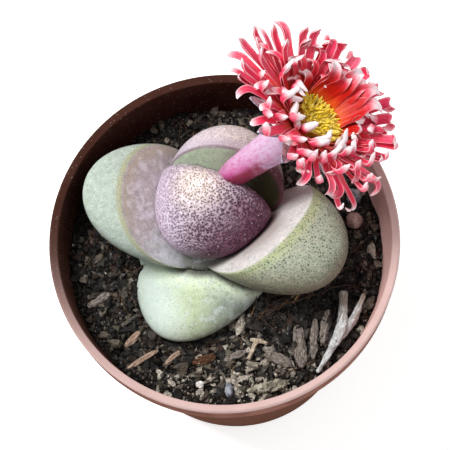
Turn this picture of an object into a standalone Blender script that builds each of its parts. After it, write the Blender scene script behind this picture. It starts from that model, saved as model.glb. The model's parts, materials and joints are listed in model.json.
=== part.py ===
"""A split rock plant in flower, in its round nursery pot.

Metres, +Z up. The origin is the centre of the pot's flat underside. The flower leans
towards +X, and -Y is the side that faces a person who looks down on the pot.
"""

import math
import random

import bmesh
import bpy
from mathutils import Matrix, Vector, geometry, noise

MM = 0.001
FIT_GAP = 0.3 * MM

# Pot
POT_HEIGHT = 95.0 * MM
RIM_RADIUS = 50.0 * MM
BASE_RADIUS = 36.5 * MM
POT_WALL = 1.5 * MM
POT_FLOOR = 2.0 * MM
LIP_WIDTH = 2.4 * MM
LIP_ROUND = 0.7 * MM
LIP_SLOPE = 0.6 * MM
BAND_HEIGHT = 11.0 * MM
BAND_STEP = 1.8 * MM
BASE_ROUND = 1.0 * MM
DRAIN_HOLES = 6
DRAIN_RADIUS = 3.5 * MM
DRAIN_RING = 22.0 * MM
DRAIN_SIDES = 14
POT_SEGMENTS = 48

# Compost
COMPOST_LEVEL = 79.0 * MM
COMPOST_SLOPE_X = -0.020
COMPOST_SLOPE_Y = -0.012
COMPOST_CELL = 4.3 * MM
COMPOST_EDGE_COUNT = 60
LUMP_SIZE = 7.0 * MM
LUMP_HEIGHT = 2.0 * MM
CRUMB_SIZE = 2.6 * MM
CRUMB_HEIGHT = 1.0 * MM
CRUMB_COUNT = 14
FLAKE_COUNT = 12
CRUMB_EXTENTS = ((2.0, 3.6), (2.0, 3.4), (1.8, 3.0))
FLAKE_EXTENTS = ((4.5, 8.0), (1.4, 2.4), (1.2, 1.8))
CRUMB_WALL_GAP = 3.2 * MM
CRUMB_TILT = 0.4

# Stem and tap root: its place on the ground, and radius and height in millimetres
STEM_PLACE = (2.6 * MM, 12.5 * MM)
STEM_PROFILE = (
    (0.0, 40.0), (2.2, 42.0), (4.2, 52.0), (8.5, 60.0), (11.5, 66.0), (11.0, 73.0), (7.5, 80.0),
    (4.5, 84.0), (0.0, 84.5),
)
STEM_SIDES = 12

# Leaf mesh: the rings run from the pole of the round back to the pole of the flat face
LEAF_AROUND = 20
LEAF_RINGS = (19, 38, 56, 71, 83, 91, 101, 120, 148)
MARGIN_ROUNDING = 0.10

# The saddle where the outer pair of leaves grow together at the front
SHEATH_CENTRE = Vector((-6.5, -1.0, 80.0)) * MM
SHEATH_RADII = (9.5 * MM, 7.5 * MM, 8.5 * MM)

# Flower
STALK_PATH = (
    (2.8, 17.6, 81.0),
    (3.4, 17.6, 92.0),
    (4.6, 16.7, 100.0),
    (7.6, 16.2, 106.5),
    (12.9, 17.2, 111.5),
    (19.0, 18.5, 116.8),
    (25.1, 20.0, 122.0),
)
STALK_RADII = (2.2, 2.8, 3.5, 4.1, 4.6, 5.2, 7.2)
STALK_SIDES = 12
FLOWER_CENTRE = Vector((25.3, 20.0, 122.2)) * MM
FLOWER_AXIS = Vector((0.732, 0.197, 0.652)).normalized()
PETAL_RING_INNER = 5.2 * MM
PETAL_RING_OUTER = 7.4 * MM
PETAL_RING_HEIGHT = 1.8 * MM
PETAL_RING_SIDES = 24
PETAL_THICKNESS = 0.7 * MM
STAMEN_DISC_RADIUS = 4.85 * MM
STAMEN_DISC_HEIGHT = 2.4 * MM
STAMEN_COUNT = 40
STAMEN_RADIUS = 0.38 * MM
STAMEN_TIP_SWELL = 1.25
STAMEN_LENGTHS = (6.6, 8.4)
STAMEN_ROOT_SPREAD = 0.80
STAMEN_LEAN = 0.24

# The sepals under the petals: their turn in degrees and length in millimetres
SEPALS = ((-34, 12.5), (2, 13.0), (36, 12.0), (105, 11.0), (180, 11.0), (255, 11.5))
SEPAL_HALF_WIDTH = 2.9 * MM
SEPAL_CROWN = 0.45 * MM
SEPAL_ROOT = (5.6 * MM, -1.5 * MM)
SEPAL_LEANING = (math.radians(62), math.radians(93))
SEPAL_CURL = (math.radians(-8), 0.7)
CALYX_DEPTH = 2.2 * MM

# Stations along a blade, as parts of its length, and the fineness of the curve they lie on
PETAL_STATIONS = (0.0, 0.225, 0.45, 0.70, 0.80, 0.90, 1.0)
SEPAL_STATIONS = (0.0, 0.2, 0.4, 0.6, 0.8, 1.0)
BLADE_STEPS = 40

# The whorls of petals, from the inside out: how many, root radius, length and width in
# millimetres, how far they lean from the flower's axis in degrees, how much more on the near
# side and on the hanging side, and the part of the length where the tip starts to curl
WHORLS = (
    {"count": 17, "radius": 6.0, "length": 16.0, "width": 2.6,
     "lean": 34, "near": 15, "low": 7, "curl_from": 0.68},
    {"count": 21, "radius": 6.4, "length": 20.0, "width": 2.5,
     "lean": 50, "near": 15, "low": 7, "curl_from": 0.72},
    {"count": 25, "radius": 6.8, "length": 24.3, "width": 2.4,
     "lean": 69, "near": 13, "low": 8, "curl_from": 0.80},
)

# How far a petal strays from its whorl's lean, and how far its tip turns, in degrees
LEAN_SCATTER = 6.0
HOOK_RANGE = (85.0, 130.0)
CURL_IN_SHARE = 0.85

# The long petals that stray: turn, lean, length in millimetres and curl of the tip
STRAYS = (
    (-30, 88, 26.5, 70),
    (-62, 72, 26.0, 40),
    (80, 95, 24.5, -150),
    (100, 98, 23.0, 145),
)


def leaf_spec(centre, turns, extents, lean, narrowing, face_rise, veer=0.0, point=1.0):
    """The sizes of one half-egg leaf, in millimetres and degrees.

    centre is the middle of the flat face. turns holds the way the leaf points over the ground,
    how far the face leans back from upright, and its roll in its own plane. extents holds the
    half width and half height of the face, and how far the round back stands behind it. lean
    is how far that back is drawn towards the tip, veer how far sideways, and point how much
    more pointed than an ellipse it is. narrowing is how much the tip is slimmer, and face_rise
    the face's crown.
    """
    heading, tilt, roll = turns
    half_width, half_height, depth = extents
    return {
        "centre": Vector(centre) * MM,
        "heading": math.radians(heading),
        "tilt": math.radians(tilt),
        "roll": math.radians(roll),
        "half_width": half_width * MM,
        "half_height": half_height * MM,
        "depth": depth * MM,
        "lean": lean * MM,
        "narrowing": narrowing,
        "face_rise": face_rise * MM,
        "veer": veer * MM,
        "point": point,
    }


LEAVES = {
    "leaf_inner_front": leaf_spec((0.0, 14.1, 93.0), (-123, 4.7, -10), (17.1, 13.8, 20.1), 3.5, 0.0, 5.9),
    "leaf_inner_back": leaf_spec((3.1, 16.6, 95.0), (69, 30, -2.4), (16.7, 12.7, 13.9), 5.6, 0.10, 0.0),
    "leaf_outer_left": leaf_spec((-10.4, 12.5, 87.6), (172, 45.5, -7), (17.7, 23.0, 14.2), 17.8, -0.22, 0.3),
    "leaf_outer_right": leaf_spec((7.2, 3.3, 87.4), (-57, 35.3, 28), (17.5, 21.8, 21.5), 15.0, -0.46, 0.3),
    "leaf_old_front": leaf_spec(
        (-5.1, 0.8, 75.5), (-112.7, -16, -6), (20.6, 9.3, 29.2), 0.0, 0.0, 7.0, veer=-3.4, point=1.35
    ),
}

# Each leaf is cut clear of the ones that were there before it
CUT_BY = {
    "leaf_inner_front": ("flower_stalk",),
    "leaf_inner_back": ("leaf_inner_front", "flower_stalk"),
    "leaf_outer_left": ("leaf_inner_front", "leaf_inner_back"),
    "leaf_outer_right": ("leaf_inner_front", "leaf_inner_back", "leaf_outer_left"),
    "leaf_old_front": ("leaf_inner_front", "leaf_outer_left", "leaf_outer_right"),
}

# A chip's fullness along its length, and the corners of its section
CHIP_FULLNESS = ((0.0, 0.45), (0.18, 0.85), (0.5, 1.0), (0.8, 0.9), (1.0, 0.4))
CHIP_SECTION = ((1.0, 0.0), (0.6, 0.9), (-0.5, 1.0), (-1.0, 0.1), (-0.6, -0.9), (0.5, -1.0))

# The twigs: for each branch its places (x, y and lift) and its radii, in millimetres
GREY_TWIG = (
    (((20.4, -39.4, 1.2), (24.2, -34.6, 1.6), (27.9, -30.2, 2.1), (30.2, -24.6, 2.4), (31.6, -16.9, 2.6)),
     (0.75, 1.15, 1.9, 1.8, 1.5)),
    (((26.8, -31.6, 2.0), (31.0, -28.0, 2.3), (34.2, -24.2, 2.5), (37.4, -18.8, 3.0)),
     (1.1, 1.5, 1.4, 0.7)),
)
TAN_TWIG = (
    (((1.4, -32.6, 1.2), (3.2, -29.9, 1.6), (4.9, -27.2, 1.9)), (0.7, 0.8, 0.9)),
    (((2.9, -26.6, 1.7), (5.0, -27.5, 2.0), (7.6, -28.9, 1.8)), (0.6, 0.9, 0.5)),
)

FINISHES = {
    "pot": ((0.50, 0.30, 0.26), 0.45),
    "soil": ((0.035, 0.026, 0.022), 0.95),
    "root_stem": ((0.20, 0.13, 0.07), 0.90),
    "leaf_outer_left": ((0.48, 0.53, 0.42), 0.60),
    "leaf_outer_right": ((0.50, 0.52, 0.44), 0.60),
    "leaf_inner_front": ((0.36, 0.20, 0.27), 0.55),
    "leaf_inner_back": ((0.52, 0.42, 0.44), 0.55),
    "leaf_old_front": ((0.50, 0.58, 0.45), 0.60),
    "flower_stalk": ((0.62, 0.32, 0.48), 0.50),
    "petals": ((0.78, 0.14, 0.18), 0.45),
    "stamens": ((0.85, 0.55, 0.05), 0.60),
    "grey_twig": ((0.42, 0.41, 0.38), 0.85),
    "tan_twig": ((0.52, 0.42, 0.30), 0.85),
    "wood": ((0.38, 0.25, 0.15), 0.85),
    "bark": ((0.17, 0.14, 0.13), 0.90),
    "orange_bark": ((0.33, 0.15, 0.06), 0.90),
    "stone": ((0.36, 0.27, 0.25), 0.80),
    "grit": ((0.42, 0.46, 0.52), 0.60),
    "moss": ((0.30, 0.32, 0.22), 0.95),
    "perlite": ((0.80, 0.79, 0.76), 0.85),
}


def clear_scene():
    for thing in list(bpy.data.objects):
        bpy.data.objects.remove(thing, do_unlink=True)


def finish(name):
    """The plain material of one kind of surface."""
    material = bpy.data.materials.get(name)
    if material is None:
        colour, roughness = FINISHES[name]
        material = bpy.data.materials.new(name)
        material.use_nodes = True
        shader = material.node_tree.nodes["Principled BSDF"]
        shader.inputs["Base Color"].default_value = (*colour, 1.0)
        shader.inputs["Roughness"].default_value = roughness
        shader.inputs["Metallic"].default_value = 0.0
    return material


def make_object(name, bm, finish_name=None):
    """Turn a bmesh into a smooth-shaded object with its faces pointing out."""
    bmesh.ops.recalc_face_normals(bm, faces=bm.faces)
    mesh = bpy.data.meshes.new(name)
    bm.to_mesh(mesh)
    bm.free()
    mesh.shade_smooth()
    mesh.set_sharp_from_angle(angle=math.radians(40))
    made = bpy.data.objects.new(name, mesh)
    bpy.context.scene.collection.objects.link(made)
    if finish_name:
        mesh.materials.append(finish(finish_name))
    return made


def bridge(bm, first, second):
    """Join two rings of vertices, either of which may be a single pole."""
    count = max(len(first), len(second))
    for i in range(count):
        j = (i + 1) % count
        if len(first) == 1:
            bm.faces.new((first[0], second[j], second[i]))
        elif len(second) == 1:
            bm.faces.new((first[i], first[j], second[0]))
        else:
            bm.faces.new((first[i], first[j], second[j], second[i]))


def loft(bm, rings):
    """Skin a row of rings, and close its ends where they are not poles."""
    rows = [[bm.verts.new(point) for point in ring] for ring in rings]
    for first, second in zip(rows, rows[1:]):
        bridge(bm, first, second)
    for end in (rows[0], rows[-1]):
        if len(end) > 2:
            bm.faces.new(end)
    return rows


def turned(profile, segments, centre=(0.0, 0.0)):
    """A closed body turned from (radius, height) points that start and end on the axis."""
    rings = []
    for radius, height in profile:
        if radius == 0.0:
            rings.append([Vector((centre[0], centre[1], height))])
            continue
        turn = [math.tau * k / segments for k in range(segments)]
        rings.append([
            Vector((centre[0] + radius * math.cos(a), centre[1] + radius * math.sin(a), height))
            for a in turn
        ])
    bm = bmesh.new()
    loft(bm, rings)
    return bm


def settle_modifiers(thing):
    """Replace an object's mesh by its evaluated one."""
    depsgraph = bpy.context.evaluated_depsgraph_get()
    result = bpy.data.meshes.new_from_object(thing.evaluated_get(depsgraph))
    thing.modifiers.clear()
    thing.data = result


def combine(target, others, operation, solver="EXACT"):
    """Boolean a group of objects into the target, and remove them.

    Scraps that a cut leaves are dropped, and hollows that a union seals are filled.
    """
    group = bpy.data.collections.new("operands")
    for other in others:
        group.objects.link(other)
    step = target.modifiers.new("combine", "BOOLEAN")
    step.operation = operation
    step.operand_type = "COLLECTION"
    step.collection = group
    step.solver = solver
    settle_modifiers(target)
    keep_largest_body(target)
    for other in others:
        bpy.data.objects.remove(other, do_unlink=True)
    bpy.data.collections.remove(group)


def enlarged(thing, gap=FIT_GAP):
    """A copy of an object that stands proud of it by a gap, to cut its neighbours with."""
    bm = bmesh.new()
    bm.from_mesh(thing.data)
    bm.normal_update()
    moves = [vertex.normal * gap for vertex in bm.verts]
    for vertex, move in zip(bm.verts, moves):
        vertex.co += move
    return make_object(thing.name + "_cutter", bm)


def keep_largest_body(thing):
    """Drop every loose scrap and every sealed hollow."""
    bm = bmesh.new()
    bm.from_mesh(thing.data)
    waiting = set(bm.verts)
    bodies = []
    while waiting:
        front = [waiting.pop()]
        body = set(front)
        while front:
            vertex = front.pop()
            for edge in vertex.link_edges:
                other = edge.other_vert(vertex)
                if other not in body:
                    body.add(other)
                    waiting.discard(other)
                    front.append(other)
        bodies.append(body)
    bodies.sort(key=len, reverse=True)
    scraps = [vertex for body in bodies[1:] for vertex in body]
    bmesh.ops.delete(bm, geom=scraps, context="VERTS")
    bm.to_mesh(thing.data)
    bm.free()


def smooth_step(value):
    clamped = min(1.0, max(0.0, value))
    return clamped * clamped * (3.0 - 2.0 * clamped)


def smooth_path(points, steps):
    """Points along a Catmull-Rom curve through the given ones."""
    padded = [2 * points[0] - points[1], *points, 2 * points[-1] - points[-2]]
    path = []
    for before, start, end, after in zip(padded, padded[1:], padded[2:], padded[3:]):
        for step in range(steps):
            t = step / steps
            path.append(0.5 * (
                2 * start
                + (end - before) * t
                + (2 * before - 5 * start + 4 * end - after) * t * t
                + (3 * start - before - 3 * end + after) * t * t * t
            ))
    path.append(points[-1].copy())
    return path


def interpolated(values, position):
    """A value between the entries of a list, position running from 0 to 1."""
    place = position * (len(values) - 1)
    index = min(int(place), len(values) - 2)
    part = smooth_step(place - index)
    return values[index] * (1 - part) + values[index + 1] * part


def path_frames(path):
    """A tangent, a side and an up direction at each point, carried along without twist."""
    tangents = []
    for i in range(len(path)):
        ahead = path[min(i + 1, len(path) - 1)]
        behind = path[max(i - 1, 0)]
        tangents.append((ahead - behind).normalized())
    side = tangents[0].orthogonal().normalized()
    frames = []
    for tangent in tangents:
        side = (side - tangent * side.dot(tangent)).normalized()
        frames.append((tangent, side, tangent.cross(side)))
    return frames


def tube_rings(path, radii, sides, flatness=1.0):
    """Round or flattened rings along a path."""
    rings = []
    for point, (_, side, up), radius in zip(path, path_frames(path), radii):
        ring = []
        for k in range(sides):
            turn = math.tau * k / sides
            ring.append(point + side * radius * math.cos(turn) + up * radius * flatness * math.sin(turn))
        rings.append(ring)
    return rings


def inner_wall_radius(height):
    """The radius of the pot's inner wall at a height."""
    band_foot = POT_HEIGHT - BAND_HEIGHT
    top = RIM_RADIUS - LIP_WIDTH
    knee = RIM_RADIUS - BAND_STEP - POT_WALL
    if height > band_foot:
        return knee + (top - knee) * (height - band_foot) / BAND_HEIGHT
    foot = BASE_RADIUS - POT_WALL
    return foot + (knee - foot) * (height - POT_FLOOR) / (band_foot - POT_FLOOR)


def make_pot():
    band_foot = POT_HEIGHT - BAND_HEIGHT
    band_radius = RIM_RADIUS - LIP_ROUND
    inner_top = RIM_RADIUS - LIP_WIDTH
    profile = [
        (0.0, 0.0),
        (BASE_RADIUS - BASE_ROUND, 0.0),
        (BASE_RADIUS, BASE_ROUND),
        (RIM_RADIUS - BAND_STEP, band_foot),
        (band_radius, band_foot + LIP_ROUND),
        (RIM_RADIUS, POT_HEIGHT - 2 * LIP_ROUND),
        (RIM_RADIUS - 0.3 * LIP_ROUND, POT_HEIGHT - 0.3 * LIP_ROUND),
        (RIM_RADIUS - LIP_ROUND, POT_HEIGHT),
        (inner_top + LIP_ROUND, POT_HEIGHT - LIP_SLOPE),
        (inner_top + 0.3 * LIP_ROUND, POT_HEIGHT - LIP_SLOPE - 0.3 * LIP_ROUND),
        (inner_top, POT_HEIGHT - LIP_SLOPE - LIP_ROUND),
        (inner_wall_radius(band_foot), band_foot),
        (inner_wall_radius(POT_FLOOR), POT_FLOOR),
        (0.0, POT_FLOOR),
    ]
    pot = make_object("pot", turned(profile, POT_SEGMENTS), "pot")
    drills = []
    for k in range(DRAIN_HOLES):
        turn = math.tau * k / DRAIN_HOLES
        centre = (DRAIN_RING * math.cos(turn), DRAIN_RING * math.sin(turn))
        drill = [
            (0.0, -POT_FLOOR),
            (DRAIN_RADIUS, -POT_FLOOR),
            (DRAIN_RADIUS, 2 * POT_FLOOR),
            (0.0, 2 * POT_FLOOR),
        ]
        drills.append(make_object("drill", turned(drill, DRAIN_SIDES, centre)))
    combine(pot, drills, "DIFFERENCE")
    return pot


def leaf_axes(spec):
    """The face's width, height and outward directions."""
    outward = Vector((math.cos(spec["heading"]), math.sin(spec["heading"]), 0.0))
    upright = Vector((0.0, 0.0, 1.0))
    height = outward * math.sin(spec["tilt"]) + upright * math.cos(spec["tilt"])
    normal = upright * math.sin(spec["tilt"]) - outward * math.cos(spec["tilt"])
    width = normal.cross(height)
    turn = Matrix.Rotation(spec["roll"], 3, normal)
    return turn @ width, turn @ height, normal


def leaf_point(spec, axes, ring_angle, turn):
    """A point of a leaf: ring_angle 0 is the back's pole, 90 degrees the margin."""
    width, height, normal = axes
    toward_back = math.cos(ring_angle)
    if toward_back > 0.0:
        toward_back = toward_back ** spec["point"]
    soft = math.hypot(toward_back, MARGIN_ROUNDING)
    back = 0.5 * (soft + toward_back)
    face = 0.5 * (soft - toward_back)
    across = math.sin(ring_angle) * math.cos(turn)
    along = math.sin(ring_angle) * math.sin(turn)
    sideways = spec["half_width"] * across * (1 - spec["narrowing"] * along) + spec["veer"] * back
    point = spec["centre"] + width * sideways
    point = point + height * (spec["half_height"] * along + spec["lean"] * back)
    return point + normal * (spec["face_rise"] * face - spec["depth"] * back)


def make_leaf(name):
    spec = LEAVES[name]
    axes = leaf_axes(spec)
    rings = [[leaf_point(spec, axes, 0.0, 0.0)]]
    for degrees in LEAF_RINGS:
        angle = math.radians(degrees)
        turns = [math.tau * k / LEAF_AROUND for k in range(LEAF_AROUND)]
        rings.append([leaf_point(spec, axes, angle, turn) for turn in turns])
    rings.append([leaf_point(spec, axes, math.pi, 0.0)])
    bm = bmesh.new()
    loft(bm, rings)
    return make_object(name, bm, name)


def make_sheath():
    """The joined base of the outer pair, which grows as one with the left leaf."""
    bm = bmesh.new()
    bmesh.ops.create_uvsphere(bm, u_segments=18, v_segments=10, radius=1.0)
    for vertex in bm.verts:
        vertex.co = SHEATH_CENTRE + Vector([vertex.co[k] * SHEATH_RADII[k] for k in range(3)])
    return make_object("sheath", bm, "leaf_outer_left")


def make_root_stem():
    """The short crown that the leaves grow from, and its tap root."""
    profile = [(radius * MM, height * MM) for radius, height in STEM_PROFILE]
    return make_object("root_stem", turned(profile, STEM_SIDES, STEM_PLACE), "root_stem")


def flower_frame():
    """The directions of the flower: towards the near side, sideways, and along its axis."""
    upright = Vector((0.0, 0.0, 1.0))
    near = (upright - FLOWER_AXIS * upright.dot(FLOWER_AXIS)).normalized()
    return near, FLOWER_AXIS.cross(near), FLOWER_AXIS


def flower_point(radius, turn, height):
    near, side, axis = flower_frame()
    return FLOWER_CENTRE + (near * math.cos(turn) + side * math.sin(turn)) * radius + axis * height


def flower_turned(profile, segments):
    """A body turned about the flower's axis."""
    rings = []
    for radius, height in profile:
        if radius == 0.0:
            rings.append([flower_point(0.0, 0.0, height)])
        else:
            rings.append([flower_point(radius, math.tau * k / segments, height) for k in range(segments)])
    bm = bmesh.new()
    loft(bm, rings)
    return bm


def blade_path(root, turn, length, leaning, curl, sway, stations):
    """Places, side directions and inner-face normals along a petal or a sepal.

    root is the radius and the height of its foot, leaning gives the angles from the flower's
    axis at the foot and along the blade, curl how far the tip turns past that and from which
    part of the length, and sway the sideways drift. Angles are in radians.
    """
    near, side, axis = flower_frame()
    outward = near * math.cos(turn) + side * math.sin(turn)
    across = side * math.cos(turn) - near * math.sin(turn)
    foot_angle, main_angle = leaning
    hook, curl_from = curl
    place = flower_point(root[0], turn, root[1])
    waiting = list(stations)
    rows = []
    for step in range(BLADE_STEPS + 1):
        t = step / BLADE_STEPS
        angle = foot_angle + (main_angle - foot_angle) * smooth_step(t / 0.45)
        angle += hook * smooth_step((t - curl_from) / (1 - curl_from))
        tangent = outward * math.sin(angle) + axis * math.cos(angle)
        tangent = (tangent + across * sway * math.sin(math.pi * t)).normalized()
        if step:
            place = place + tangent * length / BLADE_STEPS
        if t > waiting[0] - 0.5 / BLADE_STEPS:
            waiting.pop(0)
            normal = axis * math.sin(angle) - outward * math.cos(angle)
            rows.append((t, place, across, normal))
        if not waiting:
            break
    return rows


def petal_width(t, width):
    """A strap: slim at the root, even along the blade, and rounded at the tip."""
    return width * (0.55 + 0.45 * smooth_step(t / 0.35)) * (1 - 0.45 * smooth_step((t - 0.86) / 0.14))


def blade_rings(rows, width, thickness):
    rings = []
    for t, place, across, normal in rows:
        half = 0.5 * petal_width(t, width)
        edge = 0.5 * thickness
        rings.append([
            place + across * half + normal * edge,
            place - across * half + normal * edge,
            place - across * half - normal * edge,
            place + across * half - normal * edge,
        ])
    return rings


def petal_plan():
    """Every petal's sizes: the whorls, and the long ones that stray."""
    draw = random.Random(11)
    plan = []
    for whorl in WHORLS:
        spacing = math.tau / whorl["count"]
        for k in range(whorl["count"]):
            turn = (k + 0.2 * draw.uniform(-1, 1)) * spacing + whorl["radius"]
            near_part = math.cos(turn)
            lean = whorl["lean"] + whorl["near"] * near_part + whorl["low"] * math.sin(turn)
            lean += draw.uniform(-LEAN_SCATTER, LEAN_SCATTER)
            curls_in = draw.random() < CURL_IN_SHARE
            hook = draw.uniform(*HOOK_RANGE) * (-1 if curls_in else 1)
            plan.append({
                "turn": turn,
                "radius": whorl["radius"] * MM,
                "length": whorl["length"] * draw.uniform(0.90, 1.10) * MM,
                "width": whorl["width"] * draw.uniform(0.9, 1.1) * MM,
                "leaning": (math.radians(0.35 * lean), math.radians(lean)),
                "curl": (math.radians(hook), whorl["curl_from"]),
                "sway": draw.uniform(-0.18, 0.18),
            })
    outer = WHORLS[-1]
    for turn, lean, length, hook in STRAYS:
        plan.append({
            "turn": math.radians(turn),
            "radius": outer["radius"] * MM,
            "length": length * MM,
            "width": outer["width"] * MM,
            "leaning": (math.radians(0.5 * lean), math.radians(lean)),
            "curl": (math.radians(hook), 0.84),
            "sway": 0.0,
        })
    return plan


def make_petals():
    ring_profile = [
        (PETAL_RING_INNER, 0.0),
        (PETAL_RING_OUTER, 0.0),
        (PETAL_RING_OUTER, PETAL_RING_HEIGHT),
        (PETAL_RING_INNER, PETAL_RING_HEIGHT),
    ]
    bm = bmesh.new()
    rows = []
    turns = [math.tau * k / PETAL_RING_SIDES for k in range(PETAL_RING_SIDES)]
    for radius, height in ring_profile:
        rows.append([bm.verts.new(flower_point(radius, turn, height)) for turn in turns])
    for first, second in zip(rows, rows[1:] + rows[:1]):
        bridge(bm, first, second)
    petals = make_object("petals", bm, "petals")
    blades = []
    for petal in petal_plan():
        path = blade_path(
            (petal["radius"], 0.3 * PETAL_RING_HEIGHT), petal["turn"], petal["length"],
            petal["leaning"], petal["curl"], petal["sway"], PETAL_STATIONS,
        )
        blade = bmesh.new()
        loft(blade, blade_rings(path, petal["width"], PETAL_THICKNESS))
        blades.append(make_object("petal", blade, "petals"))
    combine(petals, blades, "UNION")
    return petals


def make_stamens():
    """The tuft of filaments on its low disc."""
    disc = [
        (0.0, 0.0), (STAMEN_DISC_RADIUS, 0.0), (STAMEN_DISC_RADIUS, 0.5 * STAMEN_DISC_HEIGHT),
        (0.6 * STAMEN_DISC_RADIUS, STAMEN_DISC_HEIGHT), (0.0, 1.1 * STAMEN_DISC_HEIGHT),
    ]
    stamens = make_object("stamens", flower_turned(disc, 18), "stamens")
    draw = random.Random(5)
    golden = math.pi * (3 - math.sqrt(5))
    filaments = []
    for k in range(STAMEN_COUNT):
        part = math.sqrt((k + 0.5) / STAMEN_COUNT)
        turn = k * golden
        root_radius = STAMEN_ROOT_SPREAD * STAMEN_DISC_RADIUS * part
        length = draw.uniform(*STAMEN_LENGTHS) * MM
        points = []
        for step in range(3):
            t = step / 2
            radius = root_radius + length * STAMEN_LEAN * part * t * t
            bend = turn + 0.5 * draw.uniform(-1, 1) * t
            points.append(flower_point(radius, bend, 0.4 * STAMEN_DISC_HEIGHT + length * t))
        radii = [STAMEN_RADIUS, STAMEN_RADIUS, STAMEN_TIP_SWELL * STAMEN_RADIUS]
        bm = bmesh.new()
        loft(bm, tube_rings(points, radii, 3))
        filaments.append(make_object("filament", bm, "stamens"))
    combine(stamens, filaments, "UNION")
    return stamens


def make_flower_stalk():
    """The stalk, widening to the calyx, with the sepals that spread under the petals."""
    path = smooth_path([Vector(point) * MM for point in STALK_PATH], 2)
    path[-1] = flower_point(0.0, 0.0, -FIT_GAP)
    path[-2] = flower_point(0.0, 0.0, -CALYX_DEPTH)
    radii = [interpolated(STALK_RADII, k / (len(path) - 1)) * MM for k in range(len(path))]
    rings = tube_rings(path, radii, STALK_SIDES)
    bm = bmesh.new()
    loft(bm, rings)
    stalk = make_object("flower_stalk", bm, "flower_stalk")
    sepals = []
    for degrees, length in SEPALS:
        rows = blade_path(
            SEPAL_ROOT, math.radians(degrees), length * MM, SEPAL_LEANING, SEPAL_CURL, 0.0, SEPAL_STATIONS
        )
        rings = []
        for t, place, across, normal in rows:
            half = SEPAL_HALF_WIDTH * (1 - 0.75 * t * t)
            rings.append([
                place + across * half,
                place + normal * SEPAL_CROWN,
                place - across * half,
                place - normal * 2 * SEPAL_CROWN,
            ])
        sepal = bmesh.new()
        loft(sepal, rings)
        sepals.append(make_object("sepal", sepal, "flower_stalk"))
    combine(stalk, sepals, "UNION")
    return stalk


def compost_height(x, y):
    """The lumpy top of the compost."""
    lumps = noise.noise(Vector((x, y, 0.0)) / LUMP_SIZE)
    crumbs = noise.noise(Vector((x, y, LUMP_SIZE)) / CRUMB_SIZE)
    level = COMPOST_LEVEL + COMPOST_SLOPE_X * x + COMPOST_SLOPE_Y * y
    return level + LUMP_HEIGHT * lumps + CRUMB_HEIGHT * crumbs


def compost_bed():
    """The body of the compost: an uneven top on a plug that fills the pot."""
    draw = random.Random(3)
    edge_radius = inner_wall_radius(COMPOST_LEVEL) - 2 * FIT_GAP
    edge_count = COMPOST_EDGE_COUNT
    edge = []
    for k in range(edge_count):
        turn = math.tau * k / edge_count
        edge.append(Vector((edge_radius * math.cos(turn), edge_radius * math.sin(turn))))
    points = list(edge)
    row_step = COMPOST_CELL * math.sqrt(0.75)
    rows = int(edge_radius / row_step)
    for row in range(-rows, rows + 1):
        for column in range(-rows - 2, rows + 3):
            x = (column + 0.5 * (row % 2)) * COMPOST_CELL + draw.uniform(-0.25, 0.25) * COMPOST_CELL
            y = row * row_step + draw.uniform(-0.25, 0.25) * COMPOST_CELL
            if math.hypot(x, y) < edge_radius - 0.6 * COMPOST_CELL:
                points.append(Vector((x, y)))
    loop = [(k, (k + 1) % edge_count) for k in range(edge_count)]
    flat, _, faces, _, _, _ = geometry.delaunay_2d_cdt(points, loop, [], 1, 1e-7)
    bm = bmesh.new()
    top = [bm.verts.new((p.x, p.y, compost_height(p.x, p.y))) for p in flat]
    for face in faces:
        bm.faces.new([top[i] for i in face])
    bottom = POT_FLOOR + FIT_GAP
    bottom_radius = inner_wall_radius(bottom) - 2 * FIT_GAP
    rim = top[:edge_count]
    foot = []
    for k in range(edge_count):
        turn = math.tau * k / edge_count
        foot.append(bm.verts.new((bottom_radius * math.cos(turn), bottom_radius * math.sin(turn), bottom)))
    bridge(bm, rim, foot)
    bm.faces.new(foot)
    return make_object("soil", bm, "soil")


def chip_rings(start, end, width, thickness, draw):
    """Six-sided rings of a split piece of bark or wood, uneven along its length."""
    direction = (end - start).normalized()
    side = direction.cross(Vector((0.0, 0.0, 1.0))).normalized()
    up = side.cross(direction)
    rings = []
    for t, fullness in CHIP_FULLNESS:
        middle = start.lerp(end, t)
        ring = []
        for across, lift in CHIP_SECTION:
            half = 0.5 * width * across * fullness * draw.uniform(0.85, 1.1)
            rise = 0.5 * thickness * lift * fullness * draw.uniform(0.8, 1.1)
            ring.append(middle + side * half + up * rise)
        rings.append(ring)
    return rings


def laid(x, y, lift):
    """A point that stands over the compost by a lift, all in millimetres."""
    return Vector((x * MM, y * MM, compost_height(x * MM, y * MM) + lift * MM))


def make_chip(name, finish_name, start, end, width, thickness, seed, lifts=(0.3, 0.3)):
    """A chip that lies half sunk between two places on the compost."""
    bm = bmesh.new()
    rings = chip_rings(
        laid(*start, lifts[0]), laid(*end, lifts[1]), width * MM, thickness * MM, random.Random(seed)
    )
    loft(bm, rings)
    return make_object(name, bm, finish_name)


def make_stone(name, finish_name, place, size, lift, seed, unevenness=0.18):
    """A rounded or angular grain."""
    bm = bmesh.new()
    bmesh.ops.create_icosphere(bm, subdivisions=2, radius=1.0)
    shift = Vector((seed, 2.0 * seed, 3.0 * seed))
    for vertex in bm.verts:
        swell = 1 + unevenness * noise.noise(vertex.co * 1.3 + shift)
        vertex.co = Vector([vertex.co[k] * swell * 0.5 * size[k] * MM for k in range(3)])
    bmesh.ops.translate(bm, verts=bm.verts, vec=laid(*place, lift))
    return make_object(name, bm, finish_name)


def twig_rings(points, radii, sides):
    path = smooth_path(points, 3)
    widths = [interpolated(radii, k / (len(path) - 1)) * MM for k in range(len(path))]
    return tube_rings(path, widths, sides, 0.75)


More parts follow.
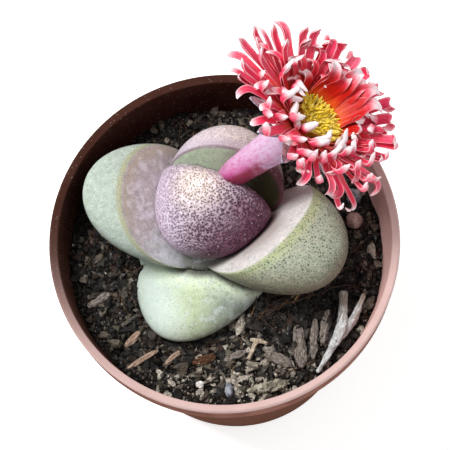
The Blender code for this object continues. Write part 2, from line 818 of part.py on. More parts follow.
def make_twig(name, finish_name, branches, sides=7):
    """A dry twig: its branches are fused where they meet."""
    pieces = []
    for points, radii in branches:
        bm = bmesh.new()
        loft(bm, twig_rings([laid(*point) for point in points], radii, sides))
        pieces.append(make_object(name, bm, finish_name))
    twig = pieces[0]
    if pieces[1:]:
        combine(twig, pieces[1:], "UNION")
    twig.name = name
    return twig


def make_debris():
    """The larger pieces that lie on the compost, each of them loose."""
    pieces = [
        make_twig("grey_twig", "grey_twig", GREY_TWIG),
        make_twig("tan_twig", "tan_twig", TAN_TWIG),
        make_chip("wood_sliver_1", "wood", (-33.2, -29.6), (-23.5, -25.7), 1.7, 1.5, 21, (0.5, 0.9)),
        make_chip("wood_sliver_2", "wood", (-22.4, -29.9), (-17.4, -27.0), 2.0, 1.7, 22, (0.5, 0.8)),
        make_chip("wood_sliver_3", "wood", (-33.0, -22.9), (-28.2, -19.3), 2.4, 1.8, 23, (0.4, 0.6)),
        make_chip("bark_chip_1", "bark", (16.9, -24.5), (16.4, -37.2), 4.4, 2.2, 31, (0.9, 0.8)),
        make_chip("bark_chip_2", "bark", (22.2, -23.6), (19.9, -35.0), 2.5, 2.0, 32, (1.0, 0.8)),
        make_chip("bark_chip_3", "bark", (26.4, -21.4), (23.2, -31.6), 3.0, 1.8, 33, (0.2, 0.2)),
        make_chip("bark_chip_4", "bark", (6.2, -31.8), (13.6, -35.6), 3.9, 2.2, 34, (0.8, 0.9)),
        make_chip("bark_chip_5", "bark", (-5.4, -31.6), (1.0, -30.2), 2.2, 1.9, 35, (0.6, 0.6)),
        make_chip("bark_chip_6", "bark", (-42.0, -9.6), (-35.2, -6.8), 3.0, 2.2, 36, (0.6, 0.6)),
        make_chip("bark_strip", "orange_bark", (-14.4, -31.0), (-7.6, -29.9), 3.2, 1.9, 37, (0.5, 0.5)),
        make_stone("pebble", "stone", (38.3, 3.6), (5.6, 5.4, 4.6), 1.5, 41),
        make_stone("blue_stone", "grit", (39.6, 11.6), (4.6, 5.4, 4.0), 1.2, 42, 0.3),
        make_stone("moss_lump", "moss", (6.4, -41.2), (12.6, 3.2, 3.0), 0.8, 43, 0.4),
        make_stone("grit_shard", "grit", (-5.4, -40.6), (2.6, 4.6, 2.6), 0.9, 44, 0.5),
        make_stone("perlite_grain", "perlite", (-13.4, -37.4), (2.4, 2.2, 2.2), 0.9, 45, 0.3),
    ]
    return pieces


def compost_crumbs():
    """Crumbs and flakes that are rooted in the compost, to be fused to it."""
    draw = random.Random(8)
    reach = inner_wall_radius(COMPOST_LEVEL) - CRUMB_WALL_GAP
    crumbs = []
    for k in range(CRUMB_COUNT + FLAKE_COUNT):
        extents = CRUMB_EXTENTS if k < CRUMB_COUNT else FLAKE_EXTENTS
        radius = reach * math.sqrt(draw.uniform(0.22, 1.0))
        turn = draw.uniform(0.0, math.tau)
        x = radius * math.cos(turn)
        y = radius * math.sin(turn)
        size = Vector([draw.uniform(*extent) for extent in extents]) * MM
        bm = bmesh.new()
        bmesh.ops.create_cube(bm, size=1.0)
        spin = Matrix.Rotation(draw.uniform(0, math.tau), 3, "Z")
        spin = spin @ Matrix.Rotation(draw.uniform(-CRUMB_TILT, CRUMB_TILT), 3, "X")
        for vertex in bm.verts:
            loose = Vector([draw.uniform(0.72, 1.15) for _ in range(3)])
            corner = Vector([vertex.co[axis] * size[axis] * loose[axis] for axis in range(3)])
            vertex.co = spin @ corner
        bmesh.ops.translate(bm, verts=bm.verts, vec=Vector((x, y, compost_height(x, y) + 0.15 * size.z)))
        crumbs.append(make_object("crumb", bm, "soil"))
    return crumbs


def build():
    clear_scene()
    make_pot()
    leaves = {name: make_leaf(name) for name in LEAVES}
    combine(leaves["leaf_outer_left"], [make_sheath()], "UNION")
    cutters = {name: enlarged(leaf) for name, leaf in leaves.items()}
    root_stem = make_root_stem()
    stalk = make_flower_stalk()
    make_petals()
    make_stamens()
    debris = make_debris()
    soil = compost_bed()
    combine(soil, compost_crumbs(), "UNION")

    copies = {name: cutter.data for name, cutter in cutters.items()}
    copies["flower_stalk"] = enlarged(stalk).data
    for name, others in CUT_BY.items():
        combine(leaves[name], [borrowed(copies[other]) for other in others], "DIFFERENCE")
    stem_cutter = enlarged(root_stem)
    combine(root_stem, [borrowed(mesh) for mesh in copies.values()], "DIFFERENCE")
    soil_tools = [borrowed(mesh) for mesh in copies.values()]
    soil_tools += [stem_cutter] + [enlarged(piece) for piece in debris]
    combine(soil, soil_tools, "DIFFERENCE")
    for cutter in [*cutters.values(), bpy.data.objects["flower_stalk_cutter"]]:
        bpy.data.objects.remove(cutter, do_unlink=True)


def borrowed(mesh):
    """A new object on an existing mesh, to cut with."""
    made = bpy.data.objects.new("cutter", mesh)
    bpy.context.scene.collection.objects.link(made)
    return made


build()
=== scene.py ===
"""A split rock plant in flower, in its nursery pot: the looks, built round the packed model."""

import json
import math
import random

import bmesh
import bpy
import numpy as np
from mathutils import Matrix, Vector, geometry, noise
from mathutils.bvhtree import BVHTree

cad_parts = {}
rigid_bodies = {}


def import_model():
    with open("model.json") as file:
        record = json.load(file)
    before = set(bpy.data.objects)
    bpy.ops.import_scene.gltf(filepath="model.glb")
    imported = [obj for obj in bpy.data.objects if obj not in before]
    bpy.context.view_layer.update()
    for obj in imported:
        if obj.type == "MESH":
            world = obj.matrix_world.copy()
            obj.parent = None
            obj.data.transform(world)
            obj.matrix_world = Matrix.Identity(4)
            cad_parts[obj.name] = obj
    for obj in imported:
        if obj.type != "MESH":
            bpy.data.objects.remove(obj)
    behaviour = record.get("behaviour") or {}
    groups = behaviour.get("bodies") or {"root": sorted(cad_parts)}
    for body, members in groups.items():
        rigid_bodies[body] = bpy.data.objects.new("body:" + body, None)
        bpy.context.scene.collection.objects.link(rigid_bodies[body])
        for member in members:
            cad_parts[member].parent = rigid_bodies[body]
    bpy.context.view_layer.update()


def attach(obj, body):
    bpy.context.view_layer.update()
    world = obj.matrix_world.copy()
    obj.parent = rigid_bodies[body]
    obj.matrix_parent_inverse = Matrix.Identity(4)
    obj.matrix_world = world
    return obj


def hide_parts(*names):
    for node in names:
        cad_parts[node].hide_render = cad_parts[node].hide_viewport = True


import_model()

bl_info = {
    "name": "Potted Split Rock",
    "version": (1, 0, 0),
    "blender": (4, 5, 0),
    "location": "3D View > Sidebar > Split Rock",
    "description": "Builds a split rock plant in flower, in its pot of compost",
    "category": "Add Mesh",
}

MM = 0.001
FIT_GAP = 0.3 * MM
SKIN_GAP = 0.04 * MM
BODY = "root"

# Pot
POT_HEIGHT = 95.0 * MM
RIM_RADIUS = 50.0 * MM
BASE_RADIUS = 36.5 * MM
POT_WALL = 1.5 * MM
POT_FLOOR = 2.0 * MM
LIP_WIDTH = 2.4 * MM
LIP_ROUND = 0.7 * MM
BAND_HEIGHT = 11.0 * MM
BAND_STEP = 1.8 * MM
BASE_ROUND = 1.0 * MM
DRAIN_HOLES = 6
DRAIN_RADIUS = 3.5 * MM
DRAIN_RING = 22.0 * MM
DRILL_SIDES = 40
POT_EDGE_ANGLE = 38

# Compost
COMPOST_LEVEL = 79.0 * MM
COMPOST_SLOPE_X = -0.020
COMPOST_SLOPE_Y = -0.012
LUMP_SIZE = 7.0 * MM
LUMP_HEIGHT = 2.0 * MM
CRUMB_SIZE = 2.6 * MM
CRUMB_HEIGHT = 1.0 * MM
GRAIN_SIZE = 1.6 * MM
HOLLOW_SIZE = 3.2 * MM
CRUMB_ROOM = 1.2 * MM
FLAKE_ROOM = 3.2 * MM
THREAD_ROOM = 3.0 * MM
THREAD_STEPS = 14
SHORTEST_THREAD = 5
THREAD_SIDES = 5
BED_EDGE_ANGLE = 60

# The middle of the painted shadow on the compost beside the right leaf, in millimetres
PAINTED_SHADOW_PLACE = (21.0, -16.5, 78.0)

# How far the relief of a piece of litter moves on with its place, so that no two are alike
LITTER_SHIFT = 900.0

# Stem
STEM_SIDES = 48
STEM_PLACE = (2.6 * MM, 12.5 * MM)
STEM_PROFILE = (
    (0.0, 40.0), (2.2, 42.0), (4.2, 52.0), (8.5, 60.0), (11.5, 66.0), (11.0, 73.0), (7.5, 80.0), (4.5, 84.0),
    (0.0, 84.5),
)

# Flower
STALK_PATH = (
    (2.8, 17.6, 81.0), (3.4, 17.6, 92.0), (4.6, 16.7, 100.0), (7.6, 16.2, 106.5), (12.9, 17.2, 111.5),
    (19.0, 18.5, 116.8), (25.1, 20.0, 122.0),
)
STALK_RADII = (2.2, 2.8, 3.5, 4.1, 4.6, 5.2, 7.2)
STALK_STEPS = 8
STALK_SIDES = 56
STALK_KNEE = 2.2 * MM
SEPAL_ROOT = (5.6 * MM, -1.5 * MM)
SEPAL_HALF_WIDTH = 2.9 * MM
SEPAL_STEPS = 16
SEPALS = ((-34, 12.5), (2, 13.0), (36, 12.0), (105, 11.0), (180, 11.0), (255, 11.5))
SEPAL_SIDES = 20
FLOWER_CENTRE = Vector((25.3, 20.0, 122.2)) * MM
FLOWER_AXIS = Vector((0.732, 0.197, 0.652)).normalized()
PETAL_RING_INNER = 5.2 * MM
PETAL_RING_OUTER = 7.4 * MM
PETAL_RING_HEIGHT = 1.8 * MM
RING_SECTIONS = 16
RING_SIDES = 72
STAMEN_DISC_RADIUS = 4.85 * MM
STAMEN_DISC_HEIGHT = 2.4 * MM
DISC_SIDES = 64
FILAMENT_STEPS = 12
FILAMENT_SIDES = 6
GOLDEN_TURN = math.pi * (3 - math.sqrt(5))
BLADE_STEPS = 40
WHORL_KEYS = (
    "count", "radius", "length", "width", "foot", "lean", "near", "low", "curl_from", "curl_span", "hook",
    "white_from",
)
PETAL_WHORLS = [dict(zip(WHORL_KEYS, sizes)) for sizes in (
    (25, 6.0, 15.2, 2.6, 0.90, 34, 19, 9, 0.60, 0.24, 106, 0.73),
    (33, 6.3, 18.3, 2.5, 0.72, 48, 16, 8, 0.66, 0.22, 112, 0.83),
    (39, 6.6, 21.4, 2.5, 0.62, 59, 14, 6, 0.74, 0.20, 116, 0.91),
    (42, 6.9, 24.2, 2.6, 0.55, 70, 13, 8, 0.80, 0.18, 104, 0.94),
)]
FAR_TURN = math.radians(200)
FAN_TURN = math.radians(-48)

# The turn, the lean, the length and the hook of each petal that strays from its whorl
STRAYS = ((-30, 88, 26.5, 70), (-62, 72, 26.0, 40), (80, 95, 24.5, -150), (100, 98, 23.0, 145))

# Leaves
MARGIN_ROUNDING = 0.10
LEAF_TURNS = 150
RING_SPANS = ((2.0, 76.0, 2.0), (77.0, 104.0, 1.0), (106.0, 178.0, 3.0))
SHEATH_CENTRE = Vector((-6.5, -1.0, 80.0)) * MM
SHEATH_RADII = (9.5 * MM, 7.5 * MM, 8.5 * MM)
SEAM_WIDTH = 1.6 * MM
SEAM_PASSES = 24
LEAF_EDGE_ANGLE = 48
WINDOW_SIDES = 8
WINDOW_LIFT = 0.02 * MM

# The middle of the plum leaf's cream crown, which is partly painted light, in millimetres
CROWN_PLACE = (-5.0, 14.5, 107.0)


def leaf_spec(centre, turns, extents, lean, narrowing, face_rise, veer=0.0, point=1.0):
    """The sizes of one half-egg leaf, in millimetres and degrees."""
    heading, tilt, roll = [math.radians(turn) for turn in turns]
    half_width, half_height, depth = [extent * MM for extent in extents]
    return {
        "centre": Vector(centre) * MM, "heading": heading, "tilt": tilt, "roll": roll,
        "half_width": half_width, "half_height": half_height, "depth": depth, "lean": lean * MM,
        "narrowing": narrowing, "face_rise": face_rise * MM, "veer": veer * MM, "point": point,
    }


LEAVES = {
    "leaf_inner_front": leaf_spec((0.0, 14.1, 93.0), (-123, 4.7, -10), (17.1, 13.8, 20.1), 3.5, 0.0, 5.9),
    "leaf_inner_back": leaf_spec((3.1, 16.6, 95.0), (69, 30, -2.4), (16.7, 12.7, 13.9), 5.6, 0.10, 0.0),
    "leaf_outer_left": leaf_spec((-10.4, 12.5, 87.6), (172, 45.5, -7), (17.7, 23.0, 14.2), 17.8, -0.22, 0.3),
    "leaf_outer_right": leaf_spec((7.2, 3.3, 87.4), (-57, 35.3, 28), (17.5, 21.8, 21.5), 15.0, -0.46, 0.3),
    "leaf_old_front": leaf_spec(
        (-5.1, 0.8, 75.5), (-112.7, -16, -6), (20.6, 9.3, 29.2), 0.0, 0.0, 7.0, veer=-3.4, point=1.35
    ),
}

# Each leaf is cut clear of the ones that were there before it
CUT_BY = {
    "leaf_inner_front": ("flower_stalk",),
    "leaf_inner_back": ("leaf_inner_front", "flower_stalk"),
    "leaf_outer_left": ("leaf_inner_front", "leaf_inner_back"),
    "leaf_outer_right": ("leaf_inner_front", "leaf_inner_back", "leaf_outer_left"),
    "leaf_old_front": ("leaf_inner_front", "leaf_outer_left", "leaf_outer_right"),
}

# Where each leaf is painted with a line of shade beside the ones it leans on, and how wide that line is
CREASES = {
    "leaf_inner_front": (("leaf_outer_right",), 0.5),
    "leaf_inner_back": (("leaf_outer_right",), 0.7),
    "leaf_outer_left": (("leaf_old_front",), 1.6),
    "leaf_outer_right": (("leaf_inner_front", "leaf_inner_back", "leaf_old_front"), 1.3),
    "leaf_old_front": (("leaf_outer_left", "leaf_outer_right"), 2.8),
}

# Each back's shade lies on the side away from the light, so it is partly painted shade as well as the leaf's
# own colour
# Where each leaf's back turns to its shade, along a direction, how its windows lie, where its
# face turns to its own shade, how wide its margin is, and how far in from it the face starts
LAYOUT_KEYS = ("toward", "span", "spacing", "dot", "dot_share", "face_toward", "margin_width", "face_from")
LEAF_LAYOUT = {name: dict(zip(LAYOUT_KEYS, layout)) for name, layout in {
    "leaf_inner_front": ((0.52, -0.80, -0.28), (-6.0, 13.0), 0.78, 0.17, 0.5, (0.0, 0.0, -1.0), 0.5, 9.0),
    "leaf_inner_back": ((-0.2, 0.2, -1.0), (-4.0, 12.0), 0.85, 0.17, 0.7, (0.9, -0.4, -0.2), 0.22, 0.0),
    "leaf_outer_left": ((0.1, -0.3, -1.0), (-6.0, 16.0), 0.66, 0.13, 0.6, (0.5, -0.8, -0.3), 0.24, 0.0),
    "leaf_outer_right": ((0.35, -0.55, -0.75), (1.0, 15.0), 0.80, 0.20, 1.0, (-0.5, 0.7, -0.4), 0.4, 0.0),
    "leaf_old_front": ((0.80, -0.50, -0.35), (-6.0, 13.0), 0.75, 0.12, 0.3, (0.3, 0.9, -0.3), 0.5, 4.0),
}.items()}

# The windows of the old leaf gather in a band: its direction, its middle and its width
DOT_BANDS = {"leaf_old_front": ((0.95, -0.2, 0.1), -2.0, 5.5)}

# Stage
CAMERA_PLACE = Vector((0.9, -155.32, 633.04)) * MM
CAMERA_RIGHT = Vector((0.9877, -0.15, -0.0444))
CAMERA_UP = Vector((0.1564, 0.947, 0.2805))
CAMERA_LENS = 157.6
LIGHT_AIM = Vector((0.0, 0.0, 90.0)) * MM
SKY_COLOUR = (0.97, 0.98, 1.0, 1.0)

# Each lamp's place and size in metres, and its colour
WINDOW_LAMP = (Vector((-0.42, 0.26, 0.98)), 0.36, (1.0, 0.985, 0.96))
FILL_LAMP = (Vector((0.42, -0.22, 0.95)), 0.9, (0.97, 0.985, 1.0))

# Colours that no setting holds, as they were read
PIGMENTS = {
    "worn plastic": (118, 80, 68), "shaded wall": (94, 63, 51), "lit dusty wall": (226, 184, 178),
    "dust speck": (222, 205, 196), "damp earth": (52, 36, 28), "rusty bark": (96, 62, 42),
    "cork": (120, 92, 64), "dark cork": (66, 44, 30), "painted crease shade": (34, 27, 18),
    "faint mottle": (212, 212, 212), "fine mottle": (206, 206, 206), "clear": (255, 255, 255),
    "lilac flush": (228, 206, 232), "cream crown": (255, 238, 224), "pale lilac": (240, 230, 242),
    "plum": (142, 88, 122), "lilac speck": (236, 222, 236), "cream speckle": (240, 230, 214),
    "lilac side": (228, 212, 232), "purple rim": (92, 48, 58), "brown cream": (176, 160, 130),
    "shaded saddle grey": (100, 102, 92), "lilac cloud": (230, 226, 236), "grey blotch": (196, 198, 190),
    "low brown": (126, 120, 98), "rough beige": (196, 190, 166), "beige": (204, 200, 176),
    "cleft brown": (168, 158, 152), "foot grey": (158, 156, 146), "yellow green": (188, 206, 156),
    "bluish mint": (208, 222, 220), "beige chin": (152, 152, 132), "lit mint": (240, 255, 228),
    "grey mint": (198, 208, 206), "olive": (128, 140, 108), "light petal": (244, 90, 122),
    "pale petal": (252, 152, 174), "petal vein": (204, 34, 74), "petal edge": (255, 208, 214),
    "petal blush": (255, 170, 190), "orange ring": (226, 120, 60), "red ring": (206, 60, 70),
    "light yellow": (255, 238, 120), "orange foot": (244, 160, 30), "ochre": (206, 140, 24),
    "orange disc": (214, 128, 28), "yellow disc": (236, 180, 40), "lilac bloom": (216, 192, 222),
    "pink speckle": (250, 226, 240), "magenta streak": (196, 84, 148), "sepal stripe": (118, 112, 136),
    "paper shade": (226, 225, 222),
}


# The settings


def tint(red, green, blue):
    """A linear colour from one that is read by eye, from 0 to 255."""
    parts = [value / 255 for value in (red, green, blue)]
    return tuple(part / 12.92 if part <= 0.04045 else ((part + 0.055) / 1.055) ** 2.4 for part in parts)


def tone(name, description, *rgb):
    """A colour setting with its default."""
    return bpy.props.FloatVectorProperty(
        name=name, description=description, subtype="COLOR", size=3, min=0.0, max=1.0, default=tint(*rgb)
    )


def length(name, description, default):
    """A setting in metres."""
    return bpy.props.FloatProperty(
        name=name, description=description, unit="LENGTH", precision=5, default=default
    )


def share(name, description, default):
    """A setting from 0 to 1."""
    return bpy.props.FloatProperty(
        name=name, description=description, subtype="FACTOR", min=0.0, max=1.0, default=default
    )


def amount(name, description, default):
    """A whole number of things."""
    return bpy.props.IntProperty(name=name, description=description, min=1, default=default)


def power(name, description, default):
    """The strength of a light."""
    return bpy.props.FloatProperty(name=name, description=description, unit="POWER", default=default)


class PotLook(bpy.types.PropertyGroup):
    """The moulded plastic of the pot."""

    plastic: tone("Plastic", "Colour of the clean plastic", 142, 100, 90)
    # Bloom: pale dust on the lip, laid on its near side, where it is also a painted reflection of the light
    bloom: tone("Bloom", "Pale dust on the lip and the band", 222, 192, 188)
    # Stain: earth on the inner wall, and also the painted shade on the far side of the pot
    stain: tone("Stain", "Earth on the inner wall", 42, 18, 10)
    facets: amount("Facets", "Sides of the turned wall", 168)
    lip_slope: length("Lip slope", "How far the lip falls towards the plant", 0.7 * MM)
    roughness: share("Roughness", "How dull the plastic is", 0.62)


class CompostLook(bpy.types.PropertyGroup):
    """The compost and all that is mixed into it."""

    dark: tone("Dark", "Colour of the moist hollows", 7, 5, 4)
    crumb: tone("Crumb", "Colour of the drier crumbs", 116, 107, 92)
    flake: tone("Flake", "Colour of the bark flakes", 130, 119, 106)
    fibre: tone("Fibre", "Colour of the loose fibres", 150, 118, 82)
    grain: tone("Grain", "Colour of the bright grains", 226, 222, 214)
    cell: length("Cell", "Width of a facet of the bed", 0.85 * MM)
    crumb_spacing: length("Crumb spacing", "Least distance between two larger crumbs", 1.6 * MM)
    fines_spacing: length("Fines spacing", "Least distance between two small crumbs", 0.75 * MM)
    fibres: amount("Fibres", "How many fibres lie on the compost", 120)
    strands: amount("Strands", "How many coarse strands lie beside the right leaf", 34)


LEAF_TONES = (
    ("back", "Back", "Crown of the round back"),
    ("shade", "Shade", "Lower or greyer part of the back"),
    ("face", "Face", "Flat inner face"),
    ("face_shade", "Face shade", "Face where it turns to the cleft or the stalk"),
    ("margin", "Margin", "Line round the face"),
    ("dots", "Dots", "The fine windows in the skin"),
)


def leaf_look(kind, summary, *tones):
    """A property group that holds one leaf's colours."""
    settings = {key: tone(label, text, *rgb) for (key, label, text), rgb in zip(LEAF_TONES, tones)}
    return type(kind, (bpy.types.PropertyGroup,), {"__doc__": summary, "__annotations__": settings})


InnerFrontLook = leaf_look(
    "InnerFrontLook", "The plum leaf of the young pair.",
    (206, 186, 204), (98, 40, 70), (150, 175, 145), (110, 120, 90), (190, 150, 170), (58, 22, 50),
)
# Its dark olive face shade, beside the stalk, is partly painted shade from the stalk and the flower
InnerBackLook = leaf_look(
    "InnerBackLook", "The pink leaf with the green face.",
    (206, 192, 198), (198, 176, 196), (198, 218, 188), (68, 62, 38), (100, 60, 82), (140, 104, 124),
)
OuterLeftLook = leaf_look(
    "OuterLeftLook", "The pale mint leaf.",
    (201, 216, 203), (184, 198, 182), (206, 194, 196), (226, 228, 234), (190, 186, 138), (146, 162, 144),
)
OuterRightLook = leaf_look(
    "OuterRightLook", "The grey green leaf with the bright face.",
    (192, 202, 180), (158, 154, 132), (255, 253, 250), (226, 210, 206), (186, 198, 138), (58, 78, 60),
)
OldFrontLook = leaf_look(
    "OldFrontLook", "The smooth leaf of the oldest pair.",
    (212, 230, 202), (156, 168, 160), (190, 205, 180), (160, 170, 150), (196, 200, 166), (92, 108, 76),
)


class FlowerLook(bpy.types.PropertyGroup):
    """The stalk, the petals and the stamens."""

    stalk: tone("Stalk", "Middle of the stalk", 208, 174, 206)
    stalk_foot: tone("Stalk foot", "Foot of the stalk", 202, 70, 150)
    stalk_under: tone("Stalk under side", "Under side near the foot", 138, 16, 50)
    sepal: tone("Sepal", "The spread sepals", 208, 204, 222)
    petal: tone("Petal", "Middle of a petal", 240, 58, 100)
    petal_deep: tone("Deep petal", "Inner face of a petal", 196, 26, 16)
    petal_foot: tone("Petal foot", "Foot of a petal", 252, 140, 40)
    petal_tip: tone("Petal tip", "The curled tips", 255, 244, 246)
    stamen: tone("Stamen", "The yellow tuft", 255, 226, 56)
    filaments: amount("Filaments", "How many filaments stand in the tuft", 560)


class StageLook(bpy.types.PropertyGroup):
    """The floor and the light."""

    floor: tone("Floor", "Colour of the floor", 244, 243, 241)
    key_power: power("Key", "Strength of the main light", 10.2)
    fill_power: power("Fill", "Strength of the fill light", 2.8)
    glow: share("Glow", "Light that the floor gives off itself", 0.62)
    sky: share("Sky", "Strength of the light from all round", 0.30)


LOOKS = {
    "pot": PotLook,
    "compost": CompostLook,
    "leaf_inner_front": InnerFrontLook,
    "leaf_inner_back": InnerBackLook,
    "leaf_outer_left": OuterLeftLook,
    "leaf_outer_right": OuterRightLook,
    "leaf_old_front": OldFrontLook,
    "flower": FlowerLook,
    "stage": StageLook,
}


def readable(name):
    return name.replace("_", " ").capitalize()


class SplitRockLook(bpy.types.PropertyGroup):
    """All settings of the plant."""

    __annotations__ = {
        name: bpy.props.PointerProperty(type=kind, name=readable(name), description=kind.__doc__.rstrip("."))
        for name, kind in LOOKS.items()
    }


# The tools


class Graph:
    """A node tree that is built step by step."""

    def __init__(self, tree):
        self.tree = tree

    def feed(self, socket, value):
        """Link a socket or set its value; a colour may be given by the name of its pigment."""
        if socket.type == "RGBA" and isinstance(value, str):
            value = tint(*PIGMENTS[value])
        if isinstance(value, bpy.types.NodeSocket):
            self.tree.links.new(value, socket)
        elif socket.type == "RGBA" and len(value) == 3:
            socket.default_value = (*value, 1.0)
        else:
            socket.default_value = value

    def add(self, kind, inputs=None, **settings):
        """Add a node; a kind that names no tree is one that every tree has."""
        node = self.tree.nodes.new(kind if "Node" in kind else "ShaderNode" + kind)
        for label, value in settings.items():
            setattr(node, label, value)
        for label, value in (inputs or {}).items():
            self.feed(node.inputs[label], value)
        return node

    def calc(self, operation, first, second=0.0):
        return self.add("Math", {0: first, 1: second}, operation=operation).outputs[0]

    def times(self, first, *others):
        """The product of several values."""
        for other in others:
            first = self.calc("MULTIPLY", first, other)
        return first

    def plus(self, first, second):
        return self.calc("ADD", first, second)


class Finish(Graph):
    """One procedural finish, whose colours are laid on step by step."""

    def __init__(self, name, roughness, specular=0.5, **constants):
        self.material = bpy.data.materials.new(name)
        self.material.use_nodes = True
        super().__init__(self.material.node_tree)
        self.inputs = self.tree.nodes["Principled BSDF"].inputs
        self.set(Roughness=roughness, Specular_IOR_Level=specular, **constants)
        coords = self.add("TexCoord").outputs["Object"]
        self.place = self.add("VectorMath", {0: coords, 3: 1 / MM}, operation="SCALE").outputs["Vector"]
        self.origin = self.place
        self.colour = None

    def set(self, **constants):
        """Set sockets of the shader, named with _ for each space."""
        for label, value in constants.items():
            self.feed(self.inputs[label.replace("_", " ")], value)

    def attribute(self, name, output="Fac"):
        return self.add("Attribute", attribute_name=name).outputs[output]

    def split(self, vector):
        return self.add("SeparateXYZ", {0: vector}).outputs

    def stretched(self, vector, scale):
        """A vector whose parts are each scaled."""
        return self.add("VectorMath", {0: vector, 1: scale}, operation="MULTIPLY").outputs[0]

    def warped(self, scale, reach):
        """The place, shifted here and there by a noise."""
        drift = self.add("TexNoise", {"Vector": self.place, "Scale": scale, "Detail": 2.0}).outputs["Color"]
        inputs = {0: drift, 1: (reach, reach, reach), 2: self.place}
        return self.add("VectorMath", inputs, operation="MULTIPLY_ADD").outputs[0]

    def noise(self, scale, detail=3.0, roughness=0.55, vector=None):
        inputs = {"Vector": vector or self.place, "Scale": scale, "Detail": detail, "Roughness": roughness}
        return self.add("TexNoise", inputs).outputs["Fac"]

    def cells(self, scale, randomness=1.0, feature="F1", vector=None):
        inputs = {"Vector": vector or self.place, "Scale": scale, "Randomness": randomness}
        return self.add("TexVoronoi", inputs, feature=feature).outputs["Distance"]

    def less(self, first, second):
        return self.calc("SUBTRACT", first, second)

    def ranged(self, value, low, high, to_low=0.0, to_high=1.0, kind="SMOOTHSTEP"):
        """A smooth step between two values."""
        inputs = {0: value, 1: low, 2: high, 3: to_low, 4: to_high}
        return self.add("MapRange", inputs, interpolation_type=kind).outputs[0]

    def reach(self, axis):
        """How far a place is from the origin along an axis."""
        return self.add("VectorMath", {0: self.origin, 1: axis}, operation="DOT_PRODUCT").outputs["Value"]

    def toward(self, axis, low, high, *ends):
        """A smooth step along an axis."""
        return self.ranged(self.reach(axis), low, high, *ends)

    def distance(self, point):
        """How far a place is from a point in millimetres."""
        return self.add("VectorMath", {0: self.place, 1: point}, operation="DISTANCE").outputs["Value"]

    def clouds(self, scale, detail, low, high, *ends, roughness=0.55, vector=None):
        """A smooth step over a noise."""
        return self.ranged(self.noise(scale, detail, roughness, vector), low, high, *ends)

    def mix(self, factor, first, second, blend="MIX"):
        inputs = {0: factor, 6: first, 7: second}
        return self.add("Mix", inputs, data_type="RGBA", blend_type=blend).outputs[2]

    def paint(self, pigment, *masks, blend="MIX"):
        """Lay a pigment over the colour so far, as strongly as the masks together say."""
        self.colour = self.mix(self.times(*masks), self.colour, pigment, blend)

    def ramp(self, value, stops):
        node = self.add("ValToRGB", {0: value})
        elements = node.color_ramp.elements
        while len(elements) < len(stops):
            elements.new(0.5)
        for element, (position, colour) in zip(elements, stops):
            element.position = position
            element.color = (*colour, 1.0)
        return node.outputs["Color"]

    def done(self, height=None, strength=0.0, distance=0.0, roughness=None):
        """Close the finish with its colour, its relief and how dull it is from place to place."""
        self.set(Base_Color=self.colour)
        if height is not None:
            inputs = {"Height": height, "Strength": strength, "Distance": distance}
            self.set(Normal=self.add("Bump", inputs).outputs["Normal"])
        if roughness is not None:
            self.set(Roughness=roughness)
        return self.material


def fleshy(name, roughness, specular, weight, radius, scale):
    """A finish of plant flesh that lets a little light in."""
    flesh = {"Subsurface_Weight": weight, "Subsurface_Radius": radius, "Subsurface_Scale": scale}
    return Finish(name, roughness, specular, **flesh)


def make_object(name, bm, material=None, sharp_angle=None):
    """Turn a bmesh into an object, smooth but for edges sharper than an angle."""
    bmesh.ops.recalc_face_normals(bm, faces=bm.faces)
    mesh = bpy.data.meshes.new(name)
    bm.to_mesh(mesh)
    bm.free()
    mesh.shade_smooth()
    if sharp_angle is not None:
        mesh.set_sharp_from_angle(angle=math.radians(sharp_angle))
    if material:
        mesh.materials.append(material)
    return linked(name, mesh)


def linked(name, mesh):
    """An object for a mesh, in the scene."""
    made = bpy.data.objects.new(name, mesh)
    bpy.context.scene.collection.objects.link(made)
    return made


def dressed(piece, slot, *nodes):
    """Let a piece ride with the pot, take a slot's finish and stand for nodes."""
    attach(piece, BODY)
    if nodes:
        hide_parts(*nodes)
    return piece


def bridge(bm, first, second):
    """Close the strip between two rings, either of which may be a pole."""
    count = max(len(first), len(second))
    for i in range(count):
        j = (i + 1) % count
        if len(first) == 1:
            bm.faces.new((first[0], second[j], second[i]))
        elif len(second) == 1:
            bm.faces.new((first[i], first[j], second[0]))
        else:
            bm.faces.new((first[i], first[j], second[j], second[i]))


def loft(bm, rings):
    """Skin a row of rings, and close its ends where they are not poles."""
    rows = [[bm.verts.new(point) for point in ring] for ring in rings]
    for first, second in zip(rows, rows[1:]):
        bridge(bm, first, second)
    for end in (rows[0], rows[-1]):
        if len(end) > 2:
            bm.faces.new(end)


def lofted(*bodies):
    """Closed bodies, each skinned over its own row of rings."""
    bm = bmesh.new()
    for rings in bodies:
        loft(bm, rings)
    return bm


def circle(radius, height, segments, centre=(0.0, 0.0)):
    """Points round an upright axis."""
    x, y = centre
    turns = [math.tau * k / segments for k in range(segments)]
    return [Vector((x + radius * math.cos(turn), y + radius * math.sin(turn), height)) for turn in turns]


def turned(profile, segments, centre=(0.0, 0.0)):
    """A closed body turned from (radius, height) points that start and end on the axis."""
    return lofted([circle(radius, height, segments if radius else 1, centre) for radius, height in profile])


def settle_modifiers(thing):
    """Replace an object's mesh by its evaluated one."""
    depsgraph = bpy.context.evaluated_depsgraph_get()
    result = bpy.data.meshes.new_from_object(thing.evaluated_get(depsgraph))
    thing.modifiers.clear()
    thing.data = result


def remove(things):
    for thing in things:
        bpy.data.objects.remove(thing, do_unlink=True)


